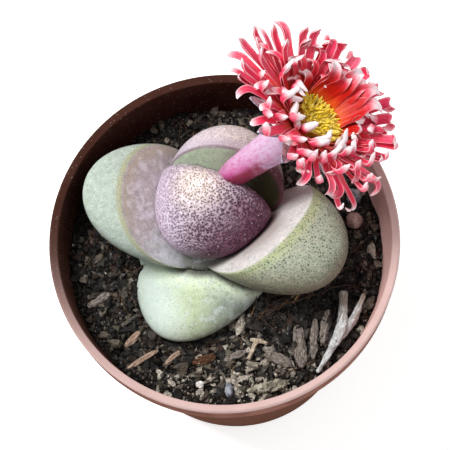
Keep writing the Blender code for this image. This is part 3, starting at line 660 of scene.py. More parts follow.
def keep_largest_body(thing):
    """Drop every loose scrap that a cut leaves."""
    bm = bmesh.new()
    bm.from_mesh(thing.data)
    waiting = set(bm.verts)
    bodies = []
    while waiting:
        front = [waiting.pop()]
        body = set(front)
        while front:
            vertex = front.pop()
            for edge in vertex.link_edges:
                other = edge.other_vert(vertex)
                if other not in body:
                    body.add(other)
                    waiting.discard(other)
                    front.append(other)
        bodies.append(body)
    bodies.sort(key=len, reverse=True)
    scraps = [vertex for body in bodies[1:] for vertex in body]
    bmesh.ops.delete(bm, geom=scraps, context="VERTS")
    bm.to_mesh(thing.data)
    bm.free()


def combine(target, others, operation):
    """Boolean a group of closed objects into the target, and remove them."""
    group = bpy.data.collections.new("operands")
    for other in others:
        group.objects.link(other)
    step = target.modifiers.new("combine", "BOOLEAN")
    step.operation = operation
    step.operand_type = "COLLECTION"
    step.collection = group
    step.solver = "MANIFOLD"
    settle_modifiers(target)
    if len(target.data.polygons) == 0:
        raise RuntimeError(target.name + " was lost in a cut")
    keep_largest_body(target)
    remove(others)
    bpy.data.collections.remove(group)


def enlarged(thing, gap):
    """A copy of an object that stands proud of it by a gap, to cut its neighbours with."""
    bm = bmesh.new()
    bm.from_mesh(thing.data)
    bm.normal_update()
    moves = [vertex.normal * gap for vertex in bm.verts]
    for vertex, move in zip(bm.verts, moves):
        vertex.co += move
    return make_object(thing.name + "_cutter", bm)


def surface_of(thing):
    """An object's surface, for finding the nearest place on it."""
    return BVHTree.FromObject(thing, bpy.context.evaluated_depsgraph_get())


def smooth_step(value):
    clamped = min(1.0, max(0.0, value))
    return clamped * clamped * (3.0 - 2.0 * clamped)


def smooth_path(points, steps):
    """Points along a Catmull-Rom curve through the given ones."""
    padded = [2 * points[0] - points[1], *points, 2 * points[-1] - points[-2]]
    path = []
    for before, start, end, after in zip(padded, padded[1:], padded[2:], padded[3:]):
        for step in range(steps):
            t = step / steps
            path.append(0.5 * (
                2 * start
                + (end - before) * t
                + (2 * before - 5 * start + 4 * end - after) * t * t
                + (3 * start - before - 3 * end + after) * t * t * t
            ))
    path.append(points[-1].copy())
    return path


def path_tangent(path, index):
    return (path[min(index + 1, len(path) - 1)] - path[max(index - 1, 0)]).normalized()


def tube_rings(path, radii, sides):
    """Round rings along a path, carried along without twist."""
    side = path_tangent(path, 0).orthogonal().normalized()
    rings = []
    for index, (point, radius) in enumerate(zip(path, radii)):
        tangent = path_tangent(path, index)
        side = (side - tangent * side.dot(tangent)).normalized()
        up = tangent.cross(side)
        ring = []
        for k in range(sides):
            turn = math.tau * k / sides
            ring.append(point + side * radius * math.cos(turn) + up * radius * math.sin(turn))
        rings.append(ring)
    return rings


def store(mesh, name, values):
    """Keep one number or one vector for each vertex."""
    values = np.asarray(values, dtype=np.float32)
    kind, key = ("FLOAT_VECTOR", "vector") if values.ndim == 2 else ("FLOAT", "value")
    mesh.attributes.new(name, kind, "POINT").data.foreach_set(key, values.ravel())


def vertex_places(mesh):
    """The places of a mesh's vertices, one row each."""
    places = np.empty(len(mesh.vertices) * 3, dtype=np.float32)
    mesh.vertices.foreach_get("co", places)
    return places.reshape(-1, 3)


class Tree(Graph):
    """A Geometry Nodes tree that holds its sizes as named inputs."""

    KINDS = {"float": "NodeSocketFloat", "int": "NodeSocketInt"}

    def __init__(self, name, sizes):
        super().__init__(bpy.data.node_groups.new(name, "GeometryNodeTree"))
        face = self.tree.interface
        face.new_socket("Geometry", in_out="INPUT", socket_type="NodeSocketGeometry")
        for label, value in sizes.items():
            face.new_socket(label, in_out="INPUT", socket_type=self.KINDS[type(value).__name__])
        face.new_socket("Geometry", in_out="OUTPUT", socket_type="NodeSocketGeometry")
        self.sizes = sizes
        self.given = self.tree.nodes.new("NodeGroupInput").outputs

    def geometry(self, kind, inputs=None, **settings):
        return self.add("GeometryNode" + kind, inputs, **settings).outputs[0]

    def vector(self, **parts):
        return self.add("CombineXYZ", parts).outputs[0]

    def named(self, name, kind="FLOAT"):
        return self.geometry("InputNamedAttribute", {"Name": name}, data_type=kind)

    def keep(self, geometry, name, value, domain="POINT"):
        inputs = {"Geometry": geometry, "Name": name, "Value": value}
        return self.geometry("StoreNamedAttribute", inputs, data_type="FLOAT", domain=domain)

    def chance(self, low, high, seed):
        """A random number for each element."""
        node = self.add("FunctionNodeRandomValue", data_type="FLOAT")
        drawn = {"Min_001": low, "Max_001": high, "Seed": seed}
        for socket in node.inputs:
            if socket.identifier in drawn:
                socket.default_value = drawn[socket.identifier]
        return next(socket for socket in node.outputs if socket.identifier == "Value_001")

    def spread(self, room, seed):
        """Points on the given faces, no nearer to each other than the spacing, where there is room."""
        inputs = {
            "Mesh": self.given["Geometry"], "Distance Min": self.given["Spacing"],
            "Density Max": self.given["Density"], "Density Factor": self.named(room), "Seed": seed,
        }
        return self.add("GeometryNodeDistributePointsOnFaces", inputs, distribute_method="POISSON").outputs

    def run(self, base, geometry, material):
        """Close the tree, run it on an object, and keep the plain mesh that comes out."""
        real = self.geometry("RealizeInstances", {"Geometry": geometry})
        done = self.geometry("SetMaterial", {"Geometry": real, "Material": material})
        self.tree.links.new(done, self.tree.nodes.new("NodeGroupOutput").inputs[0])
        step = base.modifiers.new("grow", "NODES")
        step.node_group = self.tree
        for item in self.tree.interface.items_tree:
            if item.in_out == "INPUT" and item.name in self.sizes:
                step[item.identifier] = self.sizes[item.name]
        settle_modifiers(base)
        if len(base.data.polygons) == 0:
            raise RuntimeError(base.name + " came out empty")
        return base


def threads(name, paths, attributes):
    """Many paths as one mesh of edges, with an attribute for each of their points."""
    places = [point for path in paths for point in path]
    edges = []
    start = 0
    for path in paths:
        edges += [(start + i, start + i + 1) for i in range(len(path) - 1)]
        start += len(path)
    mesh = bpy.data.meshes.new(name)
    mesh.from_pydata(places, edges, [])
    for label, values in attributes.items():
        store(mesh, label, values)
    return linked(name, mesh)


def thread_mesh(base, sides, material):
    """Round threads along a mesh of edges, as thick as their own attribute says."""
    tree = Tree(base.name + "_tree", {"Sides": sides})
    curve = tree.geometry("MeshToCurve", {"Mesh": tree.given["Geometry"]})
    profile = tree.geometry("CurvePrimitiveCircle", {"Resolution": tree.given["Sides"], "Radius": 1.0})
    inputs = {"Curve": curve, "Profile Curve": profile, "Scale": tree.named("thickness"), "Fill Caps": True}
    tube = tree.geometry("CurveToMesh", inputs)
    return tree.run(base, tree.geometry("SetShadeSmooth", {"Geometry": tube}), material)


# The pot


def inner_wall_radius(height):
    """The radius of the pot's inner wall at a height."""
    band_foot = POT_HEIGHT - BAND_HEIGHT
    top = RIM_RADIUS - LIP_WIDTH
    knee = RIM_RADIUS - BAND_STEP - POT_WALL
    if height > band_foot:
        return knee + (top - knee) * (height - band_foot) / BAND_HEIGHT
    foot = BASE_RADIUS - POT_WALL
    return foot + (knee - foot) * (height - POT_FLOOR) / (band_foot - POT_FLOOR)


def rounded(centre, radius, start, end, steps=5):
    """Points round a corner of a profile, from one angle in degrees to another."""
    turns = [math.radians(start + (end - start) * k / steps) for k in range(steps + 1)]
    return [(centre[0] + radius * math.cos(turn), centre[1] + radius * math.sin(turn)) for turn in turns]


def pot_profile(lip_slope):
    """The pot's outline as (radius, height) points, up its outside and down its inside."""
    band_foot = POT_HEIGHT - BAND_HEIGHT
    inner_top = RIM_RADIUS - LIP_WIDTH
    lip_foot = POT_HEIGHT - 4 * MM
    floor_radius = inner_wall_radius(POT_FLOOR)
    soft = LIP_ROUND
    return [
        (0.0, 0.0),
        *rounded((BASE_RADIUS - BASE_ROUND, BASE_ROUND), BASE_ROUND, -90, 0),
        (RIM_RADIUS - BAND_STEP - 0.2 * MM, band_foot - 0.6 * MM),
        (RIM_RADIUS - BAND_STEP, band_foot),
        *rounded((RIM_RADIUS - 1.2 * soft, band_foot + 0.5 * soft), 0.5 * soft, -90, 0),
        *rounded((RIM_RADIUS - soft, POT_HEIGHT - soft), soft, 0, 80),
        *rounded((inner_top + soft, POT_HEIGHT - soft - lip_slope), soft, 110, 180),
        (inner_wall_radius(lip_foot), lip_foot),
        (inner_wall_radius(band_foot), band_foot),
        (floor_radius - BASE_ROUND, POT_FLOOR + BASE_ROUND),
        (floor_radius - 2 * BASE_ROUND, POT_FLOOR),
        (0.0, POT_FLOOR),
    ]


def dusty_plastic(look):
    """Moulded terracotta coloured plastic, dusty on the lip and earthy inside."""
    skin = Finish("dusty plastic", look.roughness, 0.0)
    x, y, z = skin.split(skin.place)
    top = POT_HEIGHT / MM
    radius = skin.calc("SQRT", skin.plus(skin.times(x, x), skin.times(y, y)))
    mottle = skin.noise(0.12, 4.0)
    # The near side of the pot: the far side gets painted shade and the near lip a painted reflection
    near = skin.toward((0.45, -0.89, 0.0), -34.0, 22.0)
    inside = skin.ranged(skin.less(radius, skin.times(z, 0.145)), 35.4, 35.0)
    inside = skin.times(inside, skin.ranged(z, top - 0.9, top - 1.7))
    skin.colour = skin.mix(skin.ranged(mottle, 0.35, 0.7), look.plastic, "worn plastic")
    # Painted shade: the far side of the pot takes the stain colour
    skin.paint(look.stain, skin.less(1.0, near), 0.8)
    skin.paint("shaded wall", skin.ranged(z, top - 10.0, top - 12.5), skin.less(1.0, inside), 0.9)
    on_lip = skin.ranged(z, top - 2.6, top - 1.0)
    # Dust on the lip of the near side, which also stands for a painted reflection of the light there
    skin.paint(look.bloom, on_lip, near, skin.ranged(mottle, 0.1, 0.7, 0.75, 1.0), 0.85)
    streaks = skin.clouds(0.7, 4.0, 0.3, 0.65, 0.5, 1.0, vector=skin.stretched(skin.place, (1.0, 1.0, 0.12)))
    # Earth streaks down the inner wall, stronger further down, where they also darken the inside as painted
    # shade
    skin.paint(look.stain, inside, skin.ranged(z, top - 2.0, top - 14.0, 0.05, 0.6), streaks)
    # Painted light: the inner wall turns pale towards the right, where the light falls on it, over its dusty
    # colour
    skin.paint("lit dusty wall", inside, skin.ranged(x, 20.0, 40.0, 0.0, 0.95))
    skin.paint("dust speck", skin.ranged(skin.cells(0.9), 0.16, 0.08), 0.35)
    height = skin.plus(skin.times(skin.noise(1.4), 0.6), mottle)
    dull = skin.ranged(mottle, 0.2, 0.8, look.roughness - 0.1, look.roughness + 0.1)
    return skin.done(height, 0.18, 0.0004, dull)


def build_pot(look):
    """The turned pot with its drain holes."""
    pot = make_object("pot_wall", turned(pot_profile(look.lip_slope), look.facets), dusty_plastic(look))
    low, high = -POT_FLOOR, 2 * POT_FLOOR
    drill = [(0.0, low), (DRAIN_RADIUS, low), (DRAIN_RADIUS, high), (0.0, high)]
    drills = []
    for k in range(DRAIN_HOLES):
        turn = math.tau * k / DRAIN_HOLES
        centre = (DRAIN_RING * math.cos(turn), DRAIN_RING * math.sin(turn))
        drills.append(make_object("drill", turned(drill, DRILL_SIDES, centre)))
    combine(pot, drills, "DIFFERENCE")
    pot.data.set_sharp_from_angle(angle=math.radians(POT_EDGE_ANGLE))
    dressed(pot, "pot", "pot")


# The compost


def compost_height(x, y):
    """The lumpy top of the compost."""
    lumps = noise.noise(Vector((x, y, 0.0)) / LUMP_SIZE)
    crumbs = noise.noise(Vector((x, y, LUMP_SIZE)) / CRUMB_SIZE)
    level = COMPOST_LEVEL + COMPOST_SLOPE_X * x + COMPOST_SLOPE_Y * y
    return level + LUMP_HEIGHT * lumps + CRUMB_HEIGHT * crumbs


def fine_height(x, y):
    """The same, with the grains of the compost on it."""
    grains = noise.turbulence(Vector((x, y, 0.0)) / GRAIN_SIZE, 3, True)
    hollows = min(0.0, noise.noise(Vector((x, y, 5 * MM)) / HOLLOW_SIZE) + 0.05)
    return compost_height(x, y) + ((grains - 0.7) * 0.9 + 4.2 * hollows) * MM


def compost_bed(cell):
    """The filling of the pot: a grained top of small facets, a wall and a flat foot."""
    draw = random.Random(3)
    edge_radius = inner_wall_radius(COMPOST_LEVEL) - FIT_GAP
    edge_count = int(math.tau * edge_radius / cell)
    points = [point.to_2d() for point in circle(edge_radius, 0.0, edge_count)]
    row_step = cell * math.sqrt(0.75)
    rows = int(edge_radius / row_step)
    for row in range(-rows, rows + 1):
        for column in range(-rows - 2, rows + 3):
            x = (column + 0.5 * (row % 2) + draw.uniform(-0.3, 0.3)) * cell
            y = row * row_step + draw.uniform(-0.3, 0.3) * cell
            if math.hypot(x, y) < edge_radius - 0.6 * cell:
                points.append(Vector((x, y)))
    loop = [(k, (k + 1) % edge_count) for k in range(edge_count)]
    flat, _, faces, _, _, _ = geometry.delaunay_2d_cdt(points, loop, [], 1, 1e-7)
    bm = bmesh.new()
    top = [bm.verts.new((p.x, p.y, fine_height(p.x, p.y))) for p in flat]
    for face in faces:
        bm.faces.new([top[i] for i in face])
    bottom = POT_FLOOR + FIT_GAP
    bottom_radius = inner_wall_radius(bottom) - BASE_ROUND - 2 * FIT_GAP
    foot = [bm.verts.new(point) for point in circle(bottom_radius, bottom, edge_count)]
    bridge(bm, top[:edge_count], foot)
    bm.faces.new(foot)
    return bm


def moist_compost(look):
    """Dark moist compost with paler, drier grains."""
    skin = Finish("moist compost", 0.92, 0.25)
    grains = skin.noise(1.5, 4.0, 0.7)
    skin.colour = skin.mix(skin.ranged(grains, 0.5, 0.8, 0.0, 0.7), look.dark, look.crumb)
    skin.paint("damp earth", skin.clouds(0.25, 4.0, 0.55, 0.8, 0.0, 0.4))
    skin.paint(look.grain, skin.ranged(skin.cells(1.1), 0.13, 0.07), 0.8)
    return skin.done(grains, 0.8, 0.0009)


def crumb_finish(name, dark, middle, pale, roughness=0.5, shadow_depth=0.95):
    """Crumbs that each have a shade of their own, and are darker in the hollow beside the right leaf."""
    skin = Finish(name, roughness, Coat_Weight=0.2, Coat_Roughness=0.3)
    drier = skin.toward((0.28, -0.96, 0.0), 14.0, 38.0, -0.04, 0.34)
    own = skin.plus(skin.attribute("tone"), drier)
    skin.colour = skin.ramp(own, ((0.0, dark), (0.5, dark), (0.74, middle), (0.9, middle), (1.0, pale)))
    # Painted shadow: crumbs near the right leaf are darkened as if in its shade
    skin.paint(dark, skin.ranged(skin.distance(PAINTED_SHADOW_PLACE), 22.0, 14.0, 0.0, shadow_depth))
    skin.paint("rusty bark", skin.clouds(0.35, 2.0, 0.5, 0.75, 0.0, 0.5))
    grains = skin.noise(1.9, 4.0, 0.65)
    skin.paint(dark, skin.ranged(grains, 0.38, 0.7, 0.0, 0.8))
    return skin.done(skin.plus(grains, skin.times(skin.cells(1.6), 0.5)), 0.9, 0.0007)


def crumb_shapes(name, count, fineness, flatness, unevenness, seed, slimness=1.0, sharp_angle=50):
    """A few uneven grains, about one unit across and of few faces, that are scattered many times."""
    draw = random.Random(seed)
    shapes = bpy.data.collections.new(name)
    for k in range(count):
        bm = bmesh.new()
        bmesh.ops.create_uvsphere(bm, u_segments=fineness[0], v_segments=fineness[1], radius=0.5)
        shift = Vector((draw.uniform(0, 50), draw.uniform(0, 50), k))
        wide = draw.uniform(0.6, 0.95) / slimness
        stretch = Vector((draw.uniform(0.9, 1.35), wide, draw.uniform(0.8, 1.1) * flatness))
        for vertex in bm.verts:
            swell = 1 + unevenness * noise.noise(vertex.co * 3.1 + shift)
            vertex.co = Vector([vertex.co[i] * swell * stretch[i] for i in range(3)])
        piece = make_object(name + str(k), bm, None, sharp_angle)
        bpy.context.scene.collection.objects.unlink(piece)
        shapes.objects.link(piece)
    return shapes


def scattered(name, ground, shapes, sizes, tilt, material, seed, room="room"):
    """Scatter shapes on a ground that has room for them, in Geometry Nodes."""
    base = linked(name, ground.data.copy())
    spacing, density, smallest, largest = sizes
    tree = Tree(name + "_tree", {
        "Spacing": spacing, "Density": density, "Smallest": smallest * MM, "Largest": largest * MM,
    })
    points = tree.spread(room, seed)["Points"]
    tilts = [tree.chance(-tilt, tilt, seed + k) for k in (1, 2)]
    spin = tree.vector(X=tilts[0], Y=tilts[1], Z=tree.chance(0.0, math.tau, seed + 3))
    evenly = tree.calc("POWER", tree.chance(0.0, 1.0, seed + 4), 2.0)
    inputs = {0: evenly, 3: tree.given["Smallest"], 4: tree.given["Largest"]}
    scale = tree.add("MapRange", inputs).outputs[0]
    inputs = {"Collection": shapes, "Separate Children": True, "Reset Children": True}
    picks = tree.geometry("CollectionInfo", inputs)
    placed = tree.geometry("InstanceOnPoints", {
        "Points": points, "Instance": picks, "Pick Instance": True, "Rotation": spin, "Scale": scale,
    })
    tree.run(base, tree.keep(placed, "tone", tree.chance(0.0, 1.0, seed + 5), "INSTANCE"), material)
    remove(list(shapes.objects))
    bpy.data.collections.remove(shapes)
    return base


def wandering(draw, start, heading, bend, jitter, step, height):
    """A thread that wanders over the compost and ends before the wall."""
    x, y = start
    path = []
    for k in range(THREAD_STEPS):
        heading += bend + draw.uniform(-jitter, jitter)
        x += step * math.cos(heading)
        y += step * math.sin(heading)
        if math.hypot(x, y) > inner_wall_radius(COMPOST_LEVEL) - THREAD_ROOM:
            break
        path.append(Vector((x, y, height(x, y, k))))
    return path


def fibre_paths(count, seed):
    """Loose fibres that follow the compost."""
    draw = random.Random(seed)
    reach = inner_wall_radius(COMPOST_LEVEL) - THREAD_ROOM
    paths = []
    for _ in range(count):
        radius = reach * math.sqrt(draw.uniform(0.15, 1.0))
        turn = draw.uniform(0.0, math.tau)
        start = (radius * math.cos(turn), radius * math.sin(turn))
        heading = draw.uniform(0.0, math.tau)
        bend = draw.uniform(-0.16, 0.16)
        step = draw.uniform(0.35, 1.1) * MM
        lift = draw.uniform(0.0, 0.9) * MM

        def height(x, y, k):
            return fine_height(x, y) + 0.25 * MM + lift * math.sin(math.pi * k / (THREAD_STEPS - 1))

        paths.append(wandering(draw, start, heading, bend, 0.12, step, height))
    return paths


def strand_paths(count, seed):
    """Coarse brown strands in the hollow beside the right leaf, mostly along the leaf's edge."""
    draw = random.Random(seed)
    paths = []
    for _ in range(count):
        x = draw.uniform(4.0, 27.0) * MM
        y = (draw.uniform(-23.0, -14.0) + 0.25 * x / MM) * MM
        heading = draw.gauss(0.55, 0.35)
        bend = draw.uniform(-0.06, 0.06)
        step = draw.uniform(0.5, 1.2) * MM
        lift = draw.uniform(0.3, 1.6) * MM

        def height(x, y, k):
            return compost_height(x, y) + lift * math.sin(math.pi * (k + 1) / (THREAD_STEPS + 1))

        paths.append(wandering(draw, (x, y), heading, bend, 0.07, step, height))
    return paths


def laid_threads(name, paths, thinnest, thickest, seed, finish):
    """Tapering threads, each with a thickness and a shade of its own."""
    draw = random.Random(seed)
    paths = [path for path in paths if len(path) >= SHORTEST_THREAD]
    thickness = []
    own = []
    for path in paths:
        thick = draw.uniform(thinnest, thickest) * MM
        thickness += [thick * (1 - 0.5 * k / len(path)) for k in range(len(path))]
        own += [draw.random()] * len(path)
    base = threads(name, paths, {"thickness": thickness, "tone": own})
    return thread_mesh(base, THREAD_SIDES, finish)


def hidden_by(wall, point):
    """Whether a place lies inside a leaf, whose surface is given."""
    start = Vector(point)
    hits = 0
    for _ in range(6):
        place, _, _, _ = wall.ray_cast(start, Vector((0.0, 0.0, 1.0)))
        if place is None:
            break
        hits += 1
        start = place + Vector((0.0, 0.0, 0.01 * MM))
    return hits % 2 == 1


def store_room(bed):
    """Keep where on the bed crumbs find room, and where the wider flakes do."""
    walls = [surface_of(bpy.data.objects[name + "_skin"]) for name in LEAVES]
    reach = inner_wall_radius(COMPOST_LEVEL) - CRUMB_ROOM
    room = []
    wide_room = []
    for vertex in bed.data.vertices:
        radius = math.hypot(vertex.co.x, vertex.co.y)
        free = radius < reach and vertex.co.z > COMPOST_LEVEL - 8 * MM
        free = free and min(wall.find_nearest(vertex.co)[3] for wall in walls) > 0.5 * MM
        free = free and not any(hidden_by(wall, vertex.co) for wall in walls)
        room.append(float(free))
        wide_room.append(float(free and radius < reach - FLAKE_ROOM))
    store(bed.data, "room", room)
    store(bed.data, "wide_room", wide_room)


def build_compost(look):
    """The bed of compost, and the crumbs, flakes, grains and threads that lie on it."""
    bed = make_object("compost_bed", compost_bed(look.cell), moist_compost(look), BED_EDGE_ANGLE)
    store_room(bed)
    loose = (
        scattered(
            "compost_crumbs", bed, crumb_shapes("crumb", 9, (7, 5), 0.85, 0.9, 4),
            (look.crumb_spacing, 1.2e6, 1.2, 3.8), 0.8,
            crumb_finish("dry crumbs", tint(12, 9, 7), look.crumb, tint(226, 216, 200)), 21,
        ),
        scattered(
            "compost_fines", bed, crumb_shapes("fine", 6, (6, 4), 0.9, 0.8, 6),
            (look.fines_spacing, 3.6e6, 0.5, 1.5), 1.2,
            crumb_finish("fine crumbs", look.dark, tint(66, 56, 50), tint(180, 168, 156)), 31,
        ),
        scattered(
            "bark_flakes", bed, crumb_shapes("flake", 8, (7, 4), 0.26, 0.8, 8, 2.3, 24),
            (2.9 * MM, 2.2e5, 2.4, 7.6), 0.8,
            crumb_finish("bark flakes", tint(16, 12, 9), look.flake, tint(204, 194, 178), 0.6), 41,
            "wide_room",
        ),
        scattered(
            "bright_grains", bed, crumb_shapes("grain", 4, (6, 4), 0.9, 0.3, 9),
            (2.0 * MM, 3.0e5, 0.22, 0.85), 1.2,
            crumb_finish("bright grains", tint(150, 140, 132), look.grain, tint(250, 248, 244)), 51,
        ),
        laid_threads(
            "loose_fibres", fibre_paths(look.fibres, 12), 0.07, 0.17, 13,
            crumb_finish("dry fibres", tint(70, 48, 34), look.fibre, tint(216, 205, 188), 0.75),
        ),
        laid_threads(
            "brown_strands", strand_paths(look.strands, 61), 0.14, 0.36, 62,
            crumb_finish(
                "brown strands", tint(58, 38, 24), tint(140, 100, 66), tint(186, 150, 112), 0.75, shadow_depth=0.0
            ),
        ),
    )
    dressed(bed, "soil", "soil")
    for piece in loose:
        dressed(piece, "soil")


def build_stem():
    """The short woody crown in the compost."""
    skin = Finish("corky stem", 0.9)
    streaks = skin.noise(0.9, 5.0, vector=skin.stretched(skin.place, (1.0, 1.0, 0.18)))
    skin.colour = skin.mix(skin.ranged(streaks, 0.35, 0.7), "cork", "dark cork")
    material = skin.done(streaks, 0.8, 0.0012)
    points = [Vector((radius * MM, 0.0, height * MM)) for radius, height in STEM_PROFILE]
    profile = [(max(0.0, point.x), point.z) for point in smooth_path(points, 4)]
    body = [point for point in profile[1:-1] if point[0] > 0.4 * MM]
    bm = turned([(0.0, profile[0][1]), *body, (0.0, profile[-1][1])], STEM_SIDES, STEM_PLACE)
    for vertex in bm.verts:
        shift = noise.noise(vertex.co / (3 * MM)) * 0.5 * MM
        vertex.co.x += shift * 0.5
        vertex.co.y += shift * 0.5
    dressed(make_object("crown_stem", bm, material), "root_stem", "root_stem")


# The litter on the compost


def refined(name, slot, node, levels, relief, grain, material):
    """A finer copy of a packed piece, with its own relief and the run of its grain kept."""
    bm = bmesh.new()
    bm.from_mesh(bpy.data.objects[node].data)
    bmesh.ops.remove_doubles(bm, verts=bm.verts, dist=0.00001)
    piece = make_object(name, bm, material)
    step = piece.modifiers.new("finer", "SUBSURF")
    step.levels = levels
    step.render_levels = levels
    settle_modifiers(piece)
    mesh = piece.data
    places = vertex_places(mesh)
    middle = places.mean(axis=0)
    _, _, axes = np.linalg.svd((places - middle)[::7], full_matrices=False)
    own = (places - middle) @ axes.T
    amplitude, size, stretch = relief
    start = Vector([float(part) for part in middle]) * LITTER_SHIFT
    moves = []
    for vertex, row in zip(mesh.vertices, own):
        spot = Vector((row[0] / stretch, row[1], row[2])) / (size * MM)
        moves.append(vertex.normal * (noise.fractal(spot + start, 0.9, 2.1, 4) * (amplitude * MM)))
    for vertex, move in zip(mesh.vertices, moves):
        vertex.co += move
    store(mesh, "grain", own / np.array(grain, dtype=np.float32) / MM)
    mesh.shade_smooth()
    dressed(piece, slot, node)


def woody(name, pale, dark, roughness, strength, damp=None):
    """Split or weathered wood, streaked along its own grain, with a damp colour towards the plant."""
    skin = Finish(name, roughness, 0.3)
    streaks = skin.noise(2.2, 5.0, 0.65, skin.attribute("grain", "Vector"))
    broad = skin.noise(0.4)
    skin.colour = skin.mix(skin.ranged(streaks, 0.36, 0.66), tint(*dark), tint(*pale))
    skin.paint(tint(*dark), skin.ranged(broad, 0.55, 0.75, 0.0, 0.5))
    if damp:
        inward = skin.plus(skin.split(skin.place)[1], skin.ranged(broad, 0.3, 0.7, -4.0, 4.0))
        skin.paint(tint(*damp), skin.ranged(inward, -27.0, -17.0, 0.0, 0.75))
    return skin.done(streaks, strength, 0.0008)


def stony(name, pale, dark, speck, roughness):
    """Mineral grains, speckled and pitted."""
    skin = Finish(name, roughness, 0.4)
    broad = skin.noise(0.5, 4.0)
    fine = skin.noise(3.0, 4.0, 0.7)
    skin.colour = skin.mix(skin.ranged(broad, 0.35, 0.7), tint(*dark), tint(*pale))
    skin.paint(tint(*speck), skin.ranged(fine, 0.58, 0.7, 0.0, 0.7))
    return skin.done(skin.plus(broad, fine), 0.5, 0.0007)


def build_litter():
    """The loose pieces that lie on the compost."""
    split_wood = woody("split brown wood", (210, 184, 164), (118, 90, 74), 0.85, 0.8)
    bark = woody("dull bark", (158, 148, 140), (80, 71, 65), 0.8, 0.6)
    blue_grit = stony("blue grit", (178, 182, 192), (84, 88, 98), (232, 236, 240), 0.5)
    even = (1.0, 1.0, 1.0)
    slivers = ["wood_sliver_" + str(k) for k in range(1, 4)]
    chips = ["bark_chip_" + str(k) for k in range(1, 7)]
    litter = [
        ("weathered_twig", "grey_twig", "grey_twig", 2, (0.35, 1.1, 5.0), (5.0, 0.7, 0.7),
         woody("weathered grey wood", (244, 250, 252), (158, 158, 156), 0.8, 0.7, (134, 116, 88))),
        ("broken_tan_twig", "tan_twig", "tan_twig", 2, (0.25, 0.9, 4.0), (4.0, 0.6, 0.6),
         woody("dry tan wood", (236, 224, 204), (150, 124, 98), 0.8, 0.8)),
        *(("split_" + node, "wood", node, 3, (0.3, 0.9, 5.0), (5.0, 0.6, 0.6), split_wood)
          for node in slivers),
        *(("rough_" + node, "bark", node, 3, (0.5, 1.3, 3.0), (3.5, 0.9, 0.9), bark)
          for node in chips),
        ("orange_strip", "orange_bark", "bark_strip", 3, (0.4, 1.1, 3.0), (3.5, 0.8, 0.8),
         woody("orange bark", (118, 78, 52), (44, 28, 20), 0.8, 0.9)),
        ("round_pebble", "stone", "pebble", 3, (0.25, 2.2, 1.0), even,
         stony("pink stone", (176, 146, 138), (120, 94, 90), (206, 190, 182), 0.75)),
        ("blue_pebble", "grit", "blue_stone", 3, (0.4, 2.0, 1.0), even, blue_grit),
        ("blue_shard", "grit", "grit_shard", 3, (0.3, 1.2, 1.0), even, blue_grit),
        ("mossy_lump", "moss", "moss_lump", 4, (0.7, 1.1, 1.0), even,
         stony("grey moss", (196, 192, 174), (104, 98, 82), (228, 224, 210), 0.9)),
        ("perlite_lump", "perlite", "perlite_grain", 3, (0.3, 0.9, 1.0), even,
         stony("perlite", (244, 242, 236), (196, 190, 182), (255, 254, 250), 0.85)),
    ]
    for piece in litter:
        refined(*piece)


# The leaves


def leaf_axes(spec):
    """The face's width, height and outward directions."""
    outward = Vector((math.cos(spec["heading"]), math.sin(spec["heading"]), 0.0))
    upright = Vector((0.0, 0.0, 1.0))
    height = outward * math.sin(spec["tilt"]) + upright * math.cos(spec["tilt"])
    normal = upright * math.sin(spec["tilt"]) - outward * math.cos(spec["tilt"])
    width = normal.cross(height)
    turn = Matrix.Rotation(spec["roll"], 3, normal)
    return turn @ width, turn @ height, normal


def leaf_point(spec, axes, ring_angle, turn):
    """A point of a leaf: ring_angle 0 is the back's pole, 90 degrees the margin."""
    width, height, normal = axes
    toward_back = math.cos(ring_angle)
    if toward_back > 0.0:
        toward_back = toward_back ** spec["point"]
    soft = math.hypot(toward_back, MARGIN_ROUNDING)
    back = 0.5 * (soft + toward_back)
    face = 0.5 * (soft - toward_back)
    across = math.sin(ring_angle) * math.cos(turn)
    along = math.sin(ring_angle) * math.sin(turn)
    sideways = spec["half_width"] * across * (1 - spec["narrowing"] * along) + spec["veer"] * back
    point = spec["centre"] + width * sideways
    point = point + height * (spec["half_height"] * along + spec["lean"] * back)
    return point + normal * (spec["face_rise"] * face - spec["depth"] * back)


def leaf_body(name):
    """One leaf as a fine closed body."""
    spec = LEAVES[name]
    axes = leaf_axes(spec)
    rings = [[leaf_point(spec, axes, 0.0, 0.0)]]
    for start, end, step in RING_SPANS:
        for k in range(int((end - start) / step) + 1):
            angle = math.radians(start + k * step)
            turns = [math.tau * t / LEAF_TURNS for t in range(LEAF_TURNS)]
            rings.append([leaf_point(spec, axes, angle, turn) for turn in turns])
    rings.append([leaf_point(spec, axes, math.pi, 0.0)])
    return make_object(name + "_skin", lofted(rings))


def add_saddle(leaf):
    """Grow the joined base of the outer pair onto the left leaf, and smooth the seam."""
    bm = bmesh.new()
    bmesh.ops.create_uvsphere(bm, u_segments=96, v_segments=60, radius=1.0)
    for vertex in bm.verts:
        vertex.co = SHEATH_CENTRE + Vector([vertex.co[k] * SHEATH_RADII[k] for k in range(3)])
    saddle = make_object("saddle", bm)
    walls = [surface_of(leaf), surface_of(saddle)]
    combine(leaf, [saddle], "UNION")
    bm = bmesh.new()
    bm.from_mesh(leaf.data)
    seam = []
    for vertex in bm.verts:
        if all(wall.find_nearest(vertex.co)[3] < SEAM_WIDTH for wall in walls):
            seam.append(vertex)
    for _ in range(SEAM_PASSES):
        bmesh.ops.smooth_vert(bm, verts=seam, factor=0.5, use_axis_x=True, use_axis_y=True, use_axis_z=True)
    bm.to_mesh(leaf.data)
    bm.free()


def store_creases(name, leaf, walls):
    """Keep how far each vertex is from the leaves that press on it, in millimetres."""
    pressing = [walls[other] for other in CREASES[name][0]]
    near = [min(wall.find_nearest(vertex.co)[3] for wall in pressing) / MM for vertex in leaf.data.vertices]
    store(leaf.data, "crease", near)


